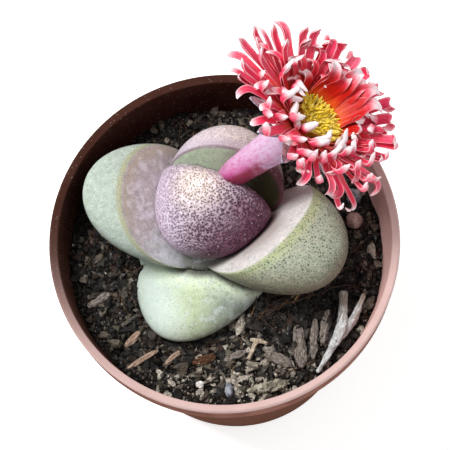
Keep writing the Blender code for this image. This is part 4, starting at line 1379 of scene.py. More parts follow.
def store_places(name, mesh):
    """Keep where each vertex is on its leaf: across, along, and past the margin in millimetres."""
    spec = LEAVES[name]
    width, height, normal = [np.array(axis) for axis in leaf_axes(spec)]
    places = vertex_places(mesh) - np.array(spec["centre"])
    depth = places @ normal
    back = np.clip(-depth / spec["depth"], 0.0, 1.0)
    along = (places @ height - spec["lean"] * back) / spec["half_height"]
    across = (places @ width - spec["veer"] * back) / (spec["half_width"] * (1 - spec["narrowing"] * along))
    inside = (1 - np.hypot(across, along)) * 0.5 * (spec["half_width"] + spec["half_height"])
    below = depth + 0.5 * MARGIN_ROUNDING * spec["depth"]
    margin = np.where(below < 0, below, np.maximum(inside, 0.0)) / MM
    store(mesh, "place", np.stack([across, along, margin], axis=1))
    return margin


def leaf_ground(skin, name, look):
    """Lay a leaf's ground colours, and give its way in from the margin, its clouds and its grain."""
    layout = LEAF_LAYOUT[name]
    inputs = {0: skin.place, 1: LEAVES[name]["centre"] / MM}
    skin.origin = skin.add("VectorMath", inputs, operation="SUBTRACT").outputs[0]
    margin = skin.split(skin.attribute("place", "Vector"))[2]
    cloudy = skin.noise(0.55, 4.0, 0.6)
    fine = skin.noise(2.6, 3.0, 0.65)
    # The back turns to its shade colour away from the light: the leaf's own colour and painted shade together
    back_reach = skin.reach(Vector(layout["toward"]).normalized())
    drift = skin.plus(back_reach, skin.clouds(0.14, 3.0, 0.2, 0.8, -4.0, 4.0))
    back = skin.mix(skin.ranged(drift, *layout["span"]), look.back, look.shade)
    face_reach = skin.reach(Vector(layout["face_toward"]).normalized())
    face_drift = skin.plus(face_reach, skin.ranged(cloudy, 0.2, 0.8, -3.0, 3.0))
    face = skin.mix(skin.ranged(face_drift, -6.0, 9.0), look.face, look.face_shade)
    face_from = layout["face_from"]
    skin.colour = skin.mix(skin.ranged(margin, face_from - 0.2, face_from + 0.5), back, face)
    if face_from == 0.0:
        wide = layout["margin_width"]
        sides = skin.ranged(margin, -2.4 * wide, -0.2 * wide), skin.ranged(margin, 1.6 * wide, 0.3 * wide)
        skin.paint(look.margin, *sides, skin.ranged(cloudy, 0.2, 0.7, 0.35, 0.8))
    skin.paint(skin.mix(skin.ranged(cloudy, 0.25, 0.75), "faint mottle", "clear"), 0.8, blend="MULTIPLY")
    skin.paint(skin.mix(skin.ranged(fine, 0.34, 0.66), "fine mottle", "clear"), 0.8, blend="MULTIPLY")
    return margin, cloudy, fine


def leaf_done(skin, name, height, strength, distance, roughness=None):
    """Darken a leaf where another one presses on it, and close its finish."""
    width = CREASES[name][1]
    # Painted shade in the crease, darkest where the other leaf is nearest
    skin.paint("painted crease shade", skin.ranged(skin.attribute("crease"), width, 0.12 * width, 0.0, 0.9))
    return skin.done(height, strength, distance, roughness)


def plum_skin(name, look):
    """Lilac on the left, cream on the crown and plum below, closely pitted."""
    skin = fleshy("plum leaf skin", 0.5, 0.4, 0.08, (1.0, 0.5, 0.4), 0.001)
    _, cloudy, fine = leaf_ground(skin, name, look)
    left = skin.toward((-0.93, 0.1, -0.35), 1.0, 15.0)
    below = skin.toward(Vector((0.52, -0.80, -0.28)).normalized(), -4.0, 14.0)
    to_crown = skin.distance(CROWN_PLACE)
    # Lilac on the side towards the light and cream on the crown: the leaf's own colours, laid on more
    # strongly as painted light
    skin.paint("lilac flush", left, 0.8)
    skin.paint("cream crown", skin.ranged(to_crown, 12.0, 1.0), 0.9)
    warped = skin.warped(0.9, 1.0)
    pits = skin.ranged(skin.cells(1.4, 0.85, vector=warped), 0.42, 0.24)
    hills = skin.ranged(skin.cells(1.4, 0.85, "SMOOTH_F1", warped), 0.36, 0.6)
    fading = skin.plus(skin.times(skin.ranged(below, 0.55, 1.0), 0.78), skin.times(left, 0.8))
    fading = skin.plus(fading, skin.ranged(to_crown, 10.0, 3.0, 0.0, 0.3))
    depth = skin.calc("MAXIMUM", skin.less(1.0, fading), 0.22)
    # The hills turn plum towards the lower right, partly as painted shade
    skin.paint(skin.mix(below, "pale lilac", "plum"), hills, 0.5)
    skin.paint(look.dots, pits, depth, 0.92)
    skin.paint("lilac speck", skin.ranged(skin.cells(0.62), 0.15, 0.09), below, 0.85)
    height = skin.less(skin.plus(hills, skin.times(fine, 0.4)), pits)
    return leaf_done(skin, name, height, 0.7, 0.0004, skin.ranged(cloudy, 0.3, 0.7, 0.44, 0.58))


def pink_skin(name, look):
    """Pale pink with a cream middle, a purple margin and an olive end beside the stalk."""
    skin = fleshy("pink leaf skin", 0.5, 0.35, 0.12, (1.0, 0.6, 0.5), 0.0012)
    margin, cloudy, fine = leaf_ground(skin, name, look)
    skin.paint("cream speckle", skin.ranged(fine, 0.45, 0.58), skin.ranged(margin, -1.0, -4.0, 0.0, 0.85))
    left = skin.toward((-0.9, 0.2, 0.2), -2.0, 11.0)
    skin.paint("lilac side", left, skin.ranged(margin, 0.2, -0.8), 0.45)
    rim = skin.toward((0.95, -0.2, 0.0), 4.0, 11.0)
    skin.paint("purple rim", rim, skin.ranged(margin, -6.0, -1.0), skin.ranged(margin, 1.4, 0.4))
    return leaf_done(skin, name, skin.plus(fine, cloudy), 0.25, 0.0003)


def mint_skin(name, look):
    """Pale mint back, mauve grey face with a cream line round it and round pale blotches."""
    skin = fleshy("mint leaf skin", 0.55, 0.35, 0.12, (0.8, 0.9, 0.5), 0.0012)
    margin, cloudy, fine = leaf_ground(skin, name, look)
    near_margin = skin.times(skin.ranged(margin, 5.0, 1.2), skin.ranged(margin, 0.4, 1.0))
    skin.paint("brown cream", near_margin, skin.toward((-0.3, 0.9, 0.3), -4.0, 10.0), 0.45)
    # The joined base of the pair is grey, made darker as painted shade where the plum leaf overhangs it
    skin.paint("shaded saddle grey", skin.ranged(skin.distance(SHEATH_CENTRE / MM), 12.0, 8.5, 0.0, 0.9))
    on_face = skin.ranged(margin, 1.0, 1.8)
    skin.paint("lilac cloud", skin.clouds(0.36, 4.0, 0.48, 0.66, roughness=0.6), on_face, 0.5)
    skin.paint("grey blotch", skin.ranged(skin.cells(0.17), 0.15, 0.11), on_face, 0.5)
    return leaf_done(skin, name, skin.plus(fine, cloudy), 0.4, 0.0004)


def grey_green_skin(name, look):
    """Grey green back, a bright face that browns towards the cleft, and a yellow green margin."""
    skin = fleshy("grey green leaf skin", 0.55, 0.35, 0.12, (0.8, 0.9, 0.5), 0.0012)
    margin, cloudy, fine = leaf_ground(skin, name, look)
    on_back = skin.ranged(margin, 0.2, -0.6)
    past_saddle = skin.ranged(skin.distance(SHEATH_CENTRE / MM), 9.0, 17.0)
    skin.paint(look.margin, skin.ranged(margin, -3.0, -0.5), on_back, past_saddle, 0.42)
    low = skin.toward(Vector((-0.15, -0.94, -0.30)).normalized(), 7.0, 17.0)
    skin.paint("low brown", low, on_back, 0.85)
    skin.paint("rough beige", skin.ranged(fine, 0.44, 0.6), low, on_back, 0.45)
    skin.paint("beige", skin.clouds(0.9, 4.0, 0.5, 0.66, roughness=0.7), on_back, 0.55)
    cleft = skin.plus(margin, skin.ranged(cloudy, 0.2, 0.8, -2.0, 2.0))
    # Painted light: near its top, where the flower shades it, the face is kept clear of the brown and stays
    # bright
    lit_top = skin.toward((0.45, 0.85, 0.25), 3.0, 12.0, 0.8, 0.0)
    skin.paint("cleft brown", skin.ranged(cleft, 3.0, 9.5), lit_top)
    spots = skin.ranged(skin.cells(0.98, vector=skin.warped(0.8, 1.2)), 0.36, 0.20)
    fading = skin.less(1.0, skin.times(low, 0.7))
    patches = skin.clouds(0.3, 3.0, 0.35, 0.6, 0.45, 1.0)
    skin.paint(look.dots, spots, on_back, fading, patches, 0.85)
    skin.paint("foot grey", skin.less(1.0, past_saddle), 0.8)
    return leaf_done(skin, name, skin.less(skin.plus(fine, cloudy), spots), 0.4, 0.0004)


def smooth_skin(name, look):
    """Smooth mint with a yellow green middle, a bluish left edge and a beige chin."""
    skin = fleshy("old leaf skin", 0.48, 0.38, 0.14, (0.8, 0.9, 0.5), 0.0014)
    _, cloudy, fine = leaf_ground(skin, name, look)
    middle = skin.ranged(skin.reach((0.95, -0.2, 0.1)), -14.0, 10.0, -1.0, 1.0, "LINEAR")
    skin.paint("yellow green", skin.ranged(skin.calc("ABSOLUTE", middle), 0.8, 0.0, 0.0, 0.55))
    left = skin.toward((-0.97, -0.2, -0.1), 8.0, 18.0)
    skin.paint("bluish mint", left, 0.6)
    skin.paint("beige chin", skin.toward((0.08, -0.99, 0.0), 17.0, 28.0), 0.7)
    # Painted light: the old leaf is made paler along the crease, where the pair above shades it
    skin.paint("lit mint", skin.ranged(skin.attribute("crease"), 7.0, 1.0, 0.0, 0.8))
    skin.paint("grey mint", skin.clouds(0.42, 3.0, 0.48, 0.62), skin.less(1.0, left), 0.6)
    skin.paint("olive", skin.clouds(0.8, 4.0, 0.5, 0.66), skin.toward((0.8, -0.5, -0.35), -8.0, 6.0), 0.5)
    return leaf_done(skin, name, skin.plus(fine, cloudy), 0.3, 0.0004)


LEAF_SKINS = {
    "leaf_inner_front": plum_skin, "leaf_inner_back": pink_skin, "leaf_outer_left": mint_skin,
    "leaf_outer_right": grey_green_skin, "leaf_old_front": smooth_skin,
}


def window_dots(name, look):
    """The dark windows of a leaf's skin."""
    skin = Finish(name, 0.4, 0.4)
    skin.colour = skin.mix(skin.ranged(skin.attribute("tone"), 0.0, 1.0, 0.0, 0.45), look.dots, look.shade)
    skin.paint(look.back, skin.clouds(2.0, 3.0, 0.3, 0.7, 0.0, 0.3))
    return skin.done()


def dot_room(name, leaf, margin, draw):
    """How readily a window finds room at each vertex of a leaf: only on its back, and patchily."""
    patchy = LEAF_LAYOUT[name]["dot_share"] + draw.uniform(-0.25, 0.25, len(margin))
    if name in DOT_BANDS:
        axis, centre, width = DOT_BANDS[name]
        reach = (vertex_places(leaf.data) - np.array(LEAVES[name]["centre"])) @ np.array(axis) / MM
        patchy = patchy * 0.3 + 0.9 * np.exp(-((reach - centre) / width) ** 2)
    return np.where(margin < 0.2, np.clip(patchy, 0.0, 1.0), 0.0)


def add_dots(name, leaf, room, look):
    """Scatter the small windows over a leaf's skin, in Geometry Nodes."""
    base = linked(name + "_dots", leaf.data.copy())
    store(base.data, "room", room)
    spacing = LEAF_LAYOUT[name]["spacing"] * MM
    sizes = {"Spacing": spacing, "Density": 4.2 / spacing ** 2, "Radius": LEAF_LAYOUT[name]["dot"] * MM}
    tree = Tree(name + "_dots_tree", sizes)
    spread = tree.spread("room", 7)
    inputs = {"Vertices": WINDOW_SIDES, "Radius": tree.given["Radius"]}
    dot = tree.geometry("MeshCircle", inputs, fill_type="NGON")
    placed = tree.geometry("InstanceOnPoints", {
        "Points": spread["Points"], "Instance": dot, "Rotation": spread["Rotation"],
        "Scale": tree.chance(0.6, 1.25, 3),
    })
    inputs = {"Instances": placed, "Translation": (0.0, 0.0, WINDOW_LIFT)}
    lifted = tree.geometry("TranslateInstances", inputs)
    toned = tree.keep(lifted, "tone", tree.chance(0.0, 1.0, 9), "INSTANCE")
    dressed(tree.run(base, toned, window_dots(name + " windows", look)), name)


def build_leaves(looks):
    """All five leaves, each cut clear of its neighbours as they grew."""
    leaves = {name: leaf_body(name) for name in LEAVES}
    add_saddle(leaves["leaf_outer_left"])
    cutters = {name: enlarged(leaf, SKIN_GAP) for name, leaf in leaves.items()}
    cutters["flower_stalk"] = stalk_cutter()
    meshes = {name: cutter.data for name, cutter in cutters.items()}
    remove(cutters.values())
    for name, leaf in leaves.items():
        combine(leaf, [linked("cutter", meshes[other]) for other in CUT_BY[name]], "DIFFERENCE")
    walls = {name: surface_of(leaf) for name, leaf in leaves.items()}
    draw = np.random.default_rng(17)
    for name, leaf in leaves.items():
        look = getattr(looks, name)
        leaf.data.shade_smooth()
        leaf.data.set_sharp_from_angle(angle=math.radians(LEAF_EDGE_ANGLE))
        leaf.data.materials.clear()
        leaf.data.materials.append(LEAF_SKINS[name](name, look))
        margin = store_places(name, leaf.data)
        store_creases(name, leaf, walls)
        dressed(leaf, name, name)
        add_dots(name, leaf, dot_room(name, leaf, margin, draw), look)


# The flower


def interpolated(values, position):
    """A value between the entries of a list, position running from 0 to 1."""
    place = position * (len(values) - 1)
    index = min(int(place), len(values) - 2)
    part = smooth_step(place - index)
    return values[index] * (1 - part) + values[index + 1] * part


def flower_frame():
    """The directions of the flower: towards the near side, sideways, and along its axis."""
    upright = Vector((0.0, 0.0, 1.0))
    near = (upright - FLOWER_AXIS * upright.dot(FLOWER_AXIS)).normalized()
    return near, FLOWER_AXIS.cross(near), FLOWER_AXIS


def flower_point(radius, turn, height):
    """A place by its radius, turn and height in the flower."""
    near, side, axis = flower_frame()
    return FLOWER_CENTRE + (near * math.cos(turn) + side * math.sin(turn)) * radius + axis * height


def blade_path(root, turn, length, leaning, curl, sway, steps):
    """Places, side directions and inner-face normals along a petal or a sepal.

    root is the radius and the height of its foot, leaning gives the angles from the flower's
    axis at the foot and along the blade, curl how far the tip turns past that, from which part
    of the length and within which, and sway the sideways drift and how far the tip veers.
    Angles are in radians.
    """
    near, side, axis = flower_frame()
    outward = near * math.cos(turn) + side * math.sin(turn)
    across = side * math.cos(turn) - near * math.sin(turn)
    foot_angle, main_angle = leaning
    hook, curl_from, curl_span = curl
    drift, veer = sway
    place = flower_point(root[0], turn, root[1])
    rows = []
    for step in range(steps + 1):
        t = step / steps
        curling = smooth_step((t - curl_from) / curl_span)
        angle = foot_angle + (main_angle - foot_angle) * smooth_step(t / 0.45) + hook * curling
        tangent = outward * math.sin(angle) + axis * math.cos(angle)
        tangent = (tangent + across * (drift * math.sin(math.pi * t) + veer * curling)).normalized()
        if step:
            place = place + tangent * length / steps
        rows.append((t, place, across, axis * math.sin(angle) - outward * math.cos(angle)))
    return rows


def petal_width(t, petal):
    """A strap: slimmer at the foot, even along the blade, and rounded or pointed at the tip."""
    foot = petal["foot"] + (1 - petal["foot"]) * smooth_step(t / 0.35)
    half = 0.5 * (petal["width"] * foot * (1 - 0.22 * smooth_step((t - 0.86) / 0.14)))
    tip = 1 - 0.72 * smooth_step((t - 0.95) / 0.05)
    return half * (tip * (1 - petal["point"] * smooth_step((t - 0.6) / 0.4)))


def petal_plan():
    """Every petal's sizes: the whorls, and the long ones that stray."""
    draw = random.Random(11)
    plan = []
    for layer, whorl in enumerate(PETAL_WHORLS):
        spacing = math.tau / whorl["count"]
        outward = layer / (len(PETAL_WHORLS) - 1)
        inmost = layer == 0
        for k in range(whorl["count"]):
            turn = (k + 0.3 * draw.uniform(-1, 1)) * spacing + whorl["radius"]
            fanned = max(0.0, -math.sin(turn)) * outward
            far_part = max(0.0, math.cos(turn - FAR_TURN))
            fan_part = max(0.0, math.cos(turn - FAN_TURN)) ** 5 * outward
            extra = far_part if inmost else 0.0
            lean = whorl["lean"] + whorl["near"] * math.cos(turn) + whorl["low"] * math.sin(turn)
            lean += draw.uniform(-7, 7) + 17 * fan_part
            hook = whorl["hook"] * draw.uniform(0.75, 1.3) * (1 - 0.6 * fanned) * (1 - 0.5 * fan_part)
            hook += (-12 if inmost else 50) * far_part
            if draw.random() < 0.92 - 0.10 * layer - (1.1 * far_part if layer < 2 else 0.0):
                hook = -hook
            broad = 1 + 0.15 * fanned + (1.3 if inmost else 0.25) * far_part
            stretch = draw.uniform(0.88, 1.06) * (1 + 0.06 * fan_part + 0.45 * extra ** 2)
            plan.append({
                "turn": turn,
                "radius": whorl["radius"] * MM,
                "length": whorl["length"] * stretch * MM,
                "width": whorl["width"] * broad * draw.uniform(0.88, 1.12) * MM,
                "foot": whorl["foot"],
                "leaning": (math.radians(0.35 * lean), math.radians(lean)),
                "curl": (math.radians(hook), whorl["curl_from"] + 0.14 * extra, whorl["curl_span"]),
                "sway": (draw.uniform(-0.2, 0.2), draw.uniform(-1.0, 1.0) * (1 - 0.8 * fanned)),
                "white_from": whorl["white_from"] + 0.02 * fanned + 0.12 * extra,
                "point": 0.1 * fanned + 0.3 * (1 - outward) + 0.35 * extra,
                "layer": outward,
            })
    outer = PETAL_WHORLS[-1]
    for turn, lean, long, hook in STRAYS:
        plan.append({
            "turn": math.radians(turn), "radius": outer["radius"] * MM, "length": long * MM,
            "width": outer["width"] * MM, "foot": outer["foot"],
            "leaning": (math.radians(0.5 * lean), math.radians(lean)),
            "curl": (math.radians(hook), 0.84, 0.16), "sway": (0.0, 0.0), "white_from": 0.88, "point": 0.4,
            "layer": 1.0,
        })
    return plan


def petal_finish(look):
    """Red and orange at the foot, coral along the strap, and white at the curled tip."""
    skin = fleshy("petal", 0.45, 0.25, 0.12, (1.0, 0.25, 0.25), 0.0008)
    along = skin.attribute("along")
    across = skin.calc("ABSOLUTE", skin.attribute("across"))
    own = skin.attribute("tone")
    streaks = skin.noise(1.6)
    veins = skin.calc("SINE", skin.times(across, 14.0))
    skin.colour = skin.mix(skin.ranged(own, 0.1, 0.9), look.petal, "light petal")
    skin.paint("pale petal", skin.ranged(along, 0.4, 0.95), skin.ranged(own, 0.3, 0.9, 0.05, 0.4))
    skin.paint("petal vein", skin.ranged(veins, 0.2, 0.9, 0.0, 0.4))
    # Paler edges along the straps, partly a painted highlight on their rims
    skin.paint("petal edge", skin.ranged(across, 0.72, 1.0), skin.ranged(along, 0.25, 0.5), 0.7)
    deep = skin.times(skin.ranged(along, 0.94, 0.64), skin.ranged(skin.attribute("inner"), -0.3, 0.3))
    skin.paint(look.petal_deep, deep, skin.ranged(skin.attribute("layer"), 0.9, 0.1, 0.1, 1.0))
    skin.paint(look.petal_foot, skin.ranged(along, 0.56, 0.12), 0.9)
    skin.paint(look.petal_tip, skin.attribute("whiteness"), 0.94)
    blush = skin.ranged(own, 0.2, 0.8, 0.1, 0.5)
    skin.paint("petal blush", skin.ranged(streaks, 0.46, 0.62), blush, blend="MULTIPLY")
    return skin.done(skin.plus(skin.times(veins, 0.5), streaks), 0.25, 0.0002)


def petal_threads():
    """The middle line of every petal, with its shape and its shade kept along it."""
    draw = random.Random(19)
    paths = []
    labels = ("half_width", "along", "tone", "fold", "facing", "whiteness", "layer")
    values = {label: [] for label in labels}
    for petal in petal_plan():
        rows = blade_path(
            (petal["radius"], 0.3 * PETAL_RING_HEIGHT), petal["turn"], petal["length"],
            petal["leaning"], petal["curl"], petal["sway"], BLADE_STEPS,
        )
        own = draw.random()
        ripple = draw.uniform(0.0, math.tau)
        paths.append([place for _, place, _, _ in rows])
        for t, _, _, normal in rows:
            half = petal_width(t, petal)
            point = {
                "half_width": half * (1 + 0.06 * math.sin(9 * t + ripple)), "along": t, "tone": own,
                "fold": half * (0.10 + 0.55 * smooth_step((t - 0.55) / 0.3)), "facing": normal,
                "whiteness": smooth_step((t - petal["white_from"] + 0.06) / 0.12), "layer": petal["layer"],
            }
            for label, value in point.items():
                values[label].append(value)
    return threads("petal_straps", paths, values)


def build_petals(look):
    """All petals as channelled straps swept along their paths, in Geometry Nodes."""
    base = petal_threads()
    tree = Tree("petal_tree", {"Thickness": 0.15, "Channel": 0.12, "Sides": 12})
    curve = tree.geometry("MeshToCurve", {"Mesh": tree.given["Geometry"]})
    facing = tree.named("facing", "FLOAT_VECTOR")
    turned_up = tree.geometry("SetCurveNormal", {"Curve": curve, "Normal": facing}, mode="FREE")
    ring = tree.geometry("CurvePrimitiveCircle", {"Resolution": tree.given["Sides"], "Radius": 1.0})
    spot = tree.add("SeparateXYZ", {0: tree.geometry("InputPosition")}).outputs
    ring = tree.keep(tree.keep(ring, "across", spot[1]), "inner", spot[0])
    swell = tree.times(spot[0], tree.given["Thickness"])
    dish = tree.times(spot[1], spot[1], tree.given["Channel"])
    section = tree.vector(X=tree.plus(swell, dish), Y=spot[1])
    ring = tree.geometry("SetPosition", {"Geometry": ring, "Position": section})
    strap = tree.geometry("CurveToMesh", {
        "Curve": turned_up, "Profile Curve": ring, "Scale": tree.named("half_width"), "Fill Caps": True,
    })
    edge = tree.named("across")
    rise = tree.times(edge, edge, tree.named("fold"))
    push = tree.add("VectorMath", {0: facing, 3: rise}, operation="SCALE").outputs[0]
    folded = tree.geometry("SetPosition", {"Geometry": strap, "Offset": push})
    tree.run(base, tree.geometry("SetShadeSmooth", {"Geometry": folded}), petal_finish(look))
    dressed(base, "petals", "petals")
    build_petal_ring()


def build_petal_ring():
    """The round ring that the petals grow from."""
    skin = Finish("petal ring", 0.5)
    streaks = skin.noise(1.1, 4.0)
    skin.colour = skin.mix(skin.ranged(streaks, 0.3, 0.7), "orange ring", "red ring")
    material = skin.done(streaks, 0.4, 0.0004)
    middle = 0.5 * (PETAL_RING_INNER + PETAL_RING_OUTER)
    half = 0.5 * (PETAL_RING_OUTER - PETAL_RING_INNER)
    rows = []
    bm = bmesh.new()
    for k in range(RING_SECTIONS):
        angle = math.tau * k / RING_SECTIONS
        radius = middle + half * math.cos(angle)
        height = PETAL_RING_HEIGHT * (0.5 + 0.5 * math.sin(angle))
        turns = [math.tau * i / RING_SIDES for i in range(RING_SIDES)]
        rows.append([bm.verts.new(flower_point(radius, turn, height)) for turn in turns])
    for first, second in zip(rows, rows[1:] + rows[:1]):
        bridge(bm, first, second)
    dressed(make_object("petal_ring", bm, material), "petals")


def stamen_finish(look):
    """Bright yellow filaments that deepen to orange at their foot."""
    skin = fleshy("stamen", 0.55, 0.3, 0.1, (1.0, 0.7, 0.2), 0.0008)
    grains = skin.noise(4.0)
    skin.colour = skin.mix(skin.ranged(skin.attribute("tone"), 0.0, 1.0), look.stamen, "light yellow")
    skin.paint("orange foot", skin.ranged(skin.attribute("along"), 0.45, 0.05))
    skin.paint("ochre", skin.ranged(grains, 0.35, 0.65, 0.0, 0.2))
    return skin.done(grains, 0.4, 0.0002)


def build_stamens(look):
    """The tuft: thin curly filaments with swollen tips on a low disc."""
    draw = random.Random(5)
    near, side, _ = flower_frame()
    paths = []
    values = {"thickness": [], "along": [], "tone": []}
    for k in range(look.filaments):
        part = math.sqrt((k + 0.5) / look.filaments)
        reach = draw.uniform(5.6, 8.6) * MM
        root = 0.86 * STAMEN_DISC_RADIUS * part
        spin = draw.uniform(0.0, math.tau)
        coil = draw.uniform(0.35, 1.0) * MM
        own = draw.random()
        path = []
        for step in range(FILAMENT_STEPS + 1):
            t = step / FILAMENT_STEPS
            radius = root + reach * 0.50 * part * t * t
            height = 0.4 * STAMEN_DISC_HEIGHT + reach * t * (1 - 0.18 * part)
            wave = spin + 7.5 * t
            wander = (near * math.cos(wave) + side * math.sin(wave)) * (coil * t * smooth_step(2 * t))
            point = flower_point(radius, k * GOLDEN_TURN + 0.2 * t, height) + wander
            path.append(point + (side * 0.7 - near * 2.0) * MM * t * t)
            narrowed = 1 - 0.6 * smooth_step((t - 0.94) / 0.06)
            swelling = 0.13 + 0.19 * smooth_step((t - 0.84) / 0.08) * narrowed
            values["along"].append(t)
            values["tone"].append(own)
            values["thickness"].append(swelling * MM)
        paths.append(path)
    base = thread_mesh(threads("stamen_tuft", paths, values), FILAMENT_SIDES, stamen_finish(look))
    dressed(base, "stamens", "stamens")
    build_stamen_disc()


def build_stamen_disc():
    """The low disc that the filaments stand on."""
    skin = Finish("stamen disc", 0.6)
    grains = skin.noise(1.8, 4.0)
    skin.colour = skin.mix(skin.ranged(grains, 0.3, 0.7), "orange disc", "yellow disc")
    material = skin.done(grains, 0.6, 0.0005)
    radius, height = STAMEN_DISC_RADIUS, STAMEN_DISC_HEIGHT
    profile = ((0.0, 0.0), (radius, 0.0), (radius, 0.5 * height), (0.6 * radius, height), (0.0, 1.1 * height))
    rings = []
    for out, up in profile:
        turns = [math.tau * k / DISC_SIDES for k in range(DISC_SIDES if out else 1)]
        rings.append([flower_point(out, turn, up) for turn in turns])
    dressed(make_object("stamen_disc", lofted(rings), material, 50), "stamens")


def stalk_path():
    """The stalk's middle line and its radii, bent to meet the flower squarely."""
    path = smooth_path([Vector(point) * MM for point in STALK_PATH], STALK_STEPS)
    last = len(path) - 1
    radii = [interpolated(STALK_RADII, k / last) * MM for k in range(last + 1)]
    end = flower_point(0.0, 0.0, -FIT_GAP)
    knee = flower_point(0.0, 0.0, -STALK_KNEE)
    for k in range(STALK_STEPS // 2 + 1):
        path[last - k] = end.lerp(knee, 2 * k / STALK_STEPS)
    return path, radii


def stalk_cutter():
    """The stalk with a gap round it, to cut the leaves with."""
    path, radii = stalk_path()
    rings = tube_rings(path, [radius + SKIN_GAP for radius in radii], STALK_SIDES)
    return make_object("stalk_cutter", lofted(rings))


def stalk_finish(look):
    """Lilac pink, magenta at the foot, crimson underneath, with grey striped sepals."""
    skin = fleshy("stalk skin", 0.45, 0.38, 0.15, (1.0, 0.4, 0.6), 0.0012)
    along, under, leafy = skin.split(skin.attribute("grown", "Vector"))
    cloudy = skin.noise(0.4, 4.0)
    fine = skin.noise(2.6)
    shifted = skin.plus(along, skin.ranged(cloudy, 0.2, 0.8, -0.06, 0.06))
    skin.colour = skin.mix(skin.ranged(shifted, 0.44, 0.84), look.stalk_foot, look.stalk)
    # Lilac bloom on the side towards the light, which also stands for a painted highlight there
    skin.paint("lilac bloom", skin.ranged(under, -0.35, -0.95), 0.45)
    skin.paint("pink speckle", skin.ranged(fine, 0.5, 0.66, 0.0, 0.3))
    streaky = skin.stretched(skin.place, (0.5, 1.0, 0.6))
    blush = skin.clouds(0.95, 4.0, 0.46, 0.66, roughness=0.65, vector=streaky)
    skin.paint("magenta streak", blush, skin.ranged(along, 0.9, 0.6, 0.3, 0.65))
    # Crimson under side near the foot: the stalk's own colour, and painted shade on the side away from the
    # light
    skin.paint(look.stalk_under, skin.ranged(under, -0.5, 0.0), skin.ranged(shifted, 0.78, 0.6), 0.9)
    stripe_run = skin.stretched(skin.attribute("stripe", "Vector"), (1.0, 0.12, 1.0))
    stripes = skin.times(skin.clouds(1.7, 2.0, 0.46, 0.56, vector=stripe_run), 0.8)
    skin.paint(skin.mix(stripes, look.sepal, "sepal stripe"), leafy)
    return skin.done(skin.plus(cloudy, fine), 0.25, 0.0004)


def build_stalk(look):
    """The stalk that widens to the calyx, and the sepals that spread under the petals."""
    path, radii = stalk_path()
    bodies = [tube_rings(path, radii, STALK_SIDES)]
    grown = []
    stripe = []
    for k, ring in enumerate(bodies[0]):
        tangent = path_tangent(path, k)
        upward = Vector((-0.25, 0.55, 0.8))
        upward = (upward - tangent * upward.dot(tangent)).normalized()
        for point in ring:
            grown.append((k / (len(path) - 1), -(point - path[k]).normalized().dot(upward), 0.0))
            stripe.append((0.0, 0.0, 0.0))
    leaning = (math.radians(62), math.radians(93))
    for degrees, long in SEPALS:
        rows = blade_path(
            SEPAL_ROOT, math.radians(degrees), long * MM,
            leaning, (math.radians(-8), 0.7, 0.3), (0.0, 0.0), SEPAL_STEPS,
        )
        sepal = []
        for t, place, across, normal in rows:
            half = SEPAL_HALF_WIDTH * (1 - 0.75 * t * t) * (1 - 0.6 * smooth_step((t - 0.9) / 0.1))
            ring = []
            for i in range(SEPAL_SIDES):
                turn = math.tau * i / SEPAL_SIDES
                thick = (0.45 if math.sin(turn) > 0 else 0.7) * MM
                cup = 0.35 * MM * math.cos(turn) ** 2
                rise = thick * math.sin(turn) * (1 - 0.4 * t) + cup
                ring.append(place + across * half * math.cos(turn) + normal * rise)
                grown.append((1.0, 0.0, smooth_step((t - 0.12) / 0.25)))
                stripe.append((half * math.cos(turn) / MM, t * long, degrees))
            sepal.append(ring)
        bodies.append(sepal)
    stalk = make_object("bent_stalk", lofted(*bodies), stalk_finish(look), 50)
    store(stalk.data, "grown", grown)
    store(stalk.data, "stripe", stripe)
    dressed(stalk, "flower_stalk", "flower_stalk")


# The stage


def add_light(name, lamp_sizes, power):
    """A round lamp that faces the plant."""
    place, size, colour = lamp_sizes
    light = bpy.data.lights.new(name, "AREA")
    light.shape = "DISK"
    light.size = size
    light.energy = power
    light.color = colour
    lamp = linked(name, light)
    lamp.location = place
    lamp.rotation_euler = (LIGHT_AIM - place).to_track_quat("-Z", "Y").to_euler()


def build_stage(look):
    """The floor, the sky, two lamps and the camera."""
    bm = bmesh.new()
    bmesh.ops.create_grid(bm, x_segments=8, y_segments=8, size=3.0)
    skin = Finish("matt pale floor", 0.95, 0.1, Emission_Color=(1.0, 1.0, 1.0), Emission_Strength=look.glow)
    paper = skin.noise(0.05)
    skin.colour = skin.mix(skin.ranged(paper, 0.3, 0.7, 0.0, 0.06), look.floor, "paper shade")
    floor = make_object("pale_floor", bm, skin.done(paper, 0.02, 0.0005))
    scene = bpy.context.scene
    scene.view_settings.view_transform = "Standard"
    world = bpy.data.worlds.new("soft sky")
    scene.world = world
    world.use_nodes = True
    sky = world.node_tree.nodes["Background"]
    sky.inputs["Color"].default_value = SKY_COLOUR
    sky.inputs["Strength"].default_value = look.sky
    add_light("window", WINDOW_LAMP, look.key_power)
    add_light("fill", FILL_LAMP, look.fill_power)
    lens = bpy.data.cameras.new("camera")
    lens.lens = CAMERA_LENS
    lens.sensor_width = 36.0
    lens.clip_start = 0.01
    camera = linked("camera", lens)
    axes = Matrix((CAMERA_RIGHT, CAMERA_UP, CAMERA_RIGHT.cross(CAMERA_UP))).transposed()
    camera.matrix_world = Matrix.Translation(CAMERA_PLACE) @ axes.to_4x4()
    scene.camera = camera


# The add-on


class SPLITROCK_OT_pot(bpy.types.Operator):
    """Turn the pot, slope its lip and drill its drain holes"""

    bl_idname = "split_rock.pot"
    bl_label = "Pot"

    def execute(self, context):
        build_pot(context.scene.split_rock.pot)
        return {"FINISHED"}


class SPLITROCK_OT_leaves(bpy.types.Operator):
    """Shape the five leaves and their windows"""

    bl_idname = "split_rock.leaves"
    bl_label = "Leaves"

    def execute(self, context):
        build_leaves(context.scene.split_rock)
        return {"FINISHED"}


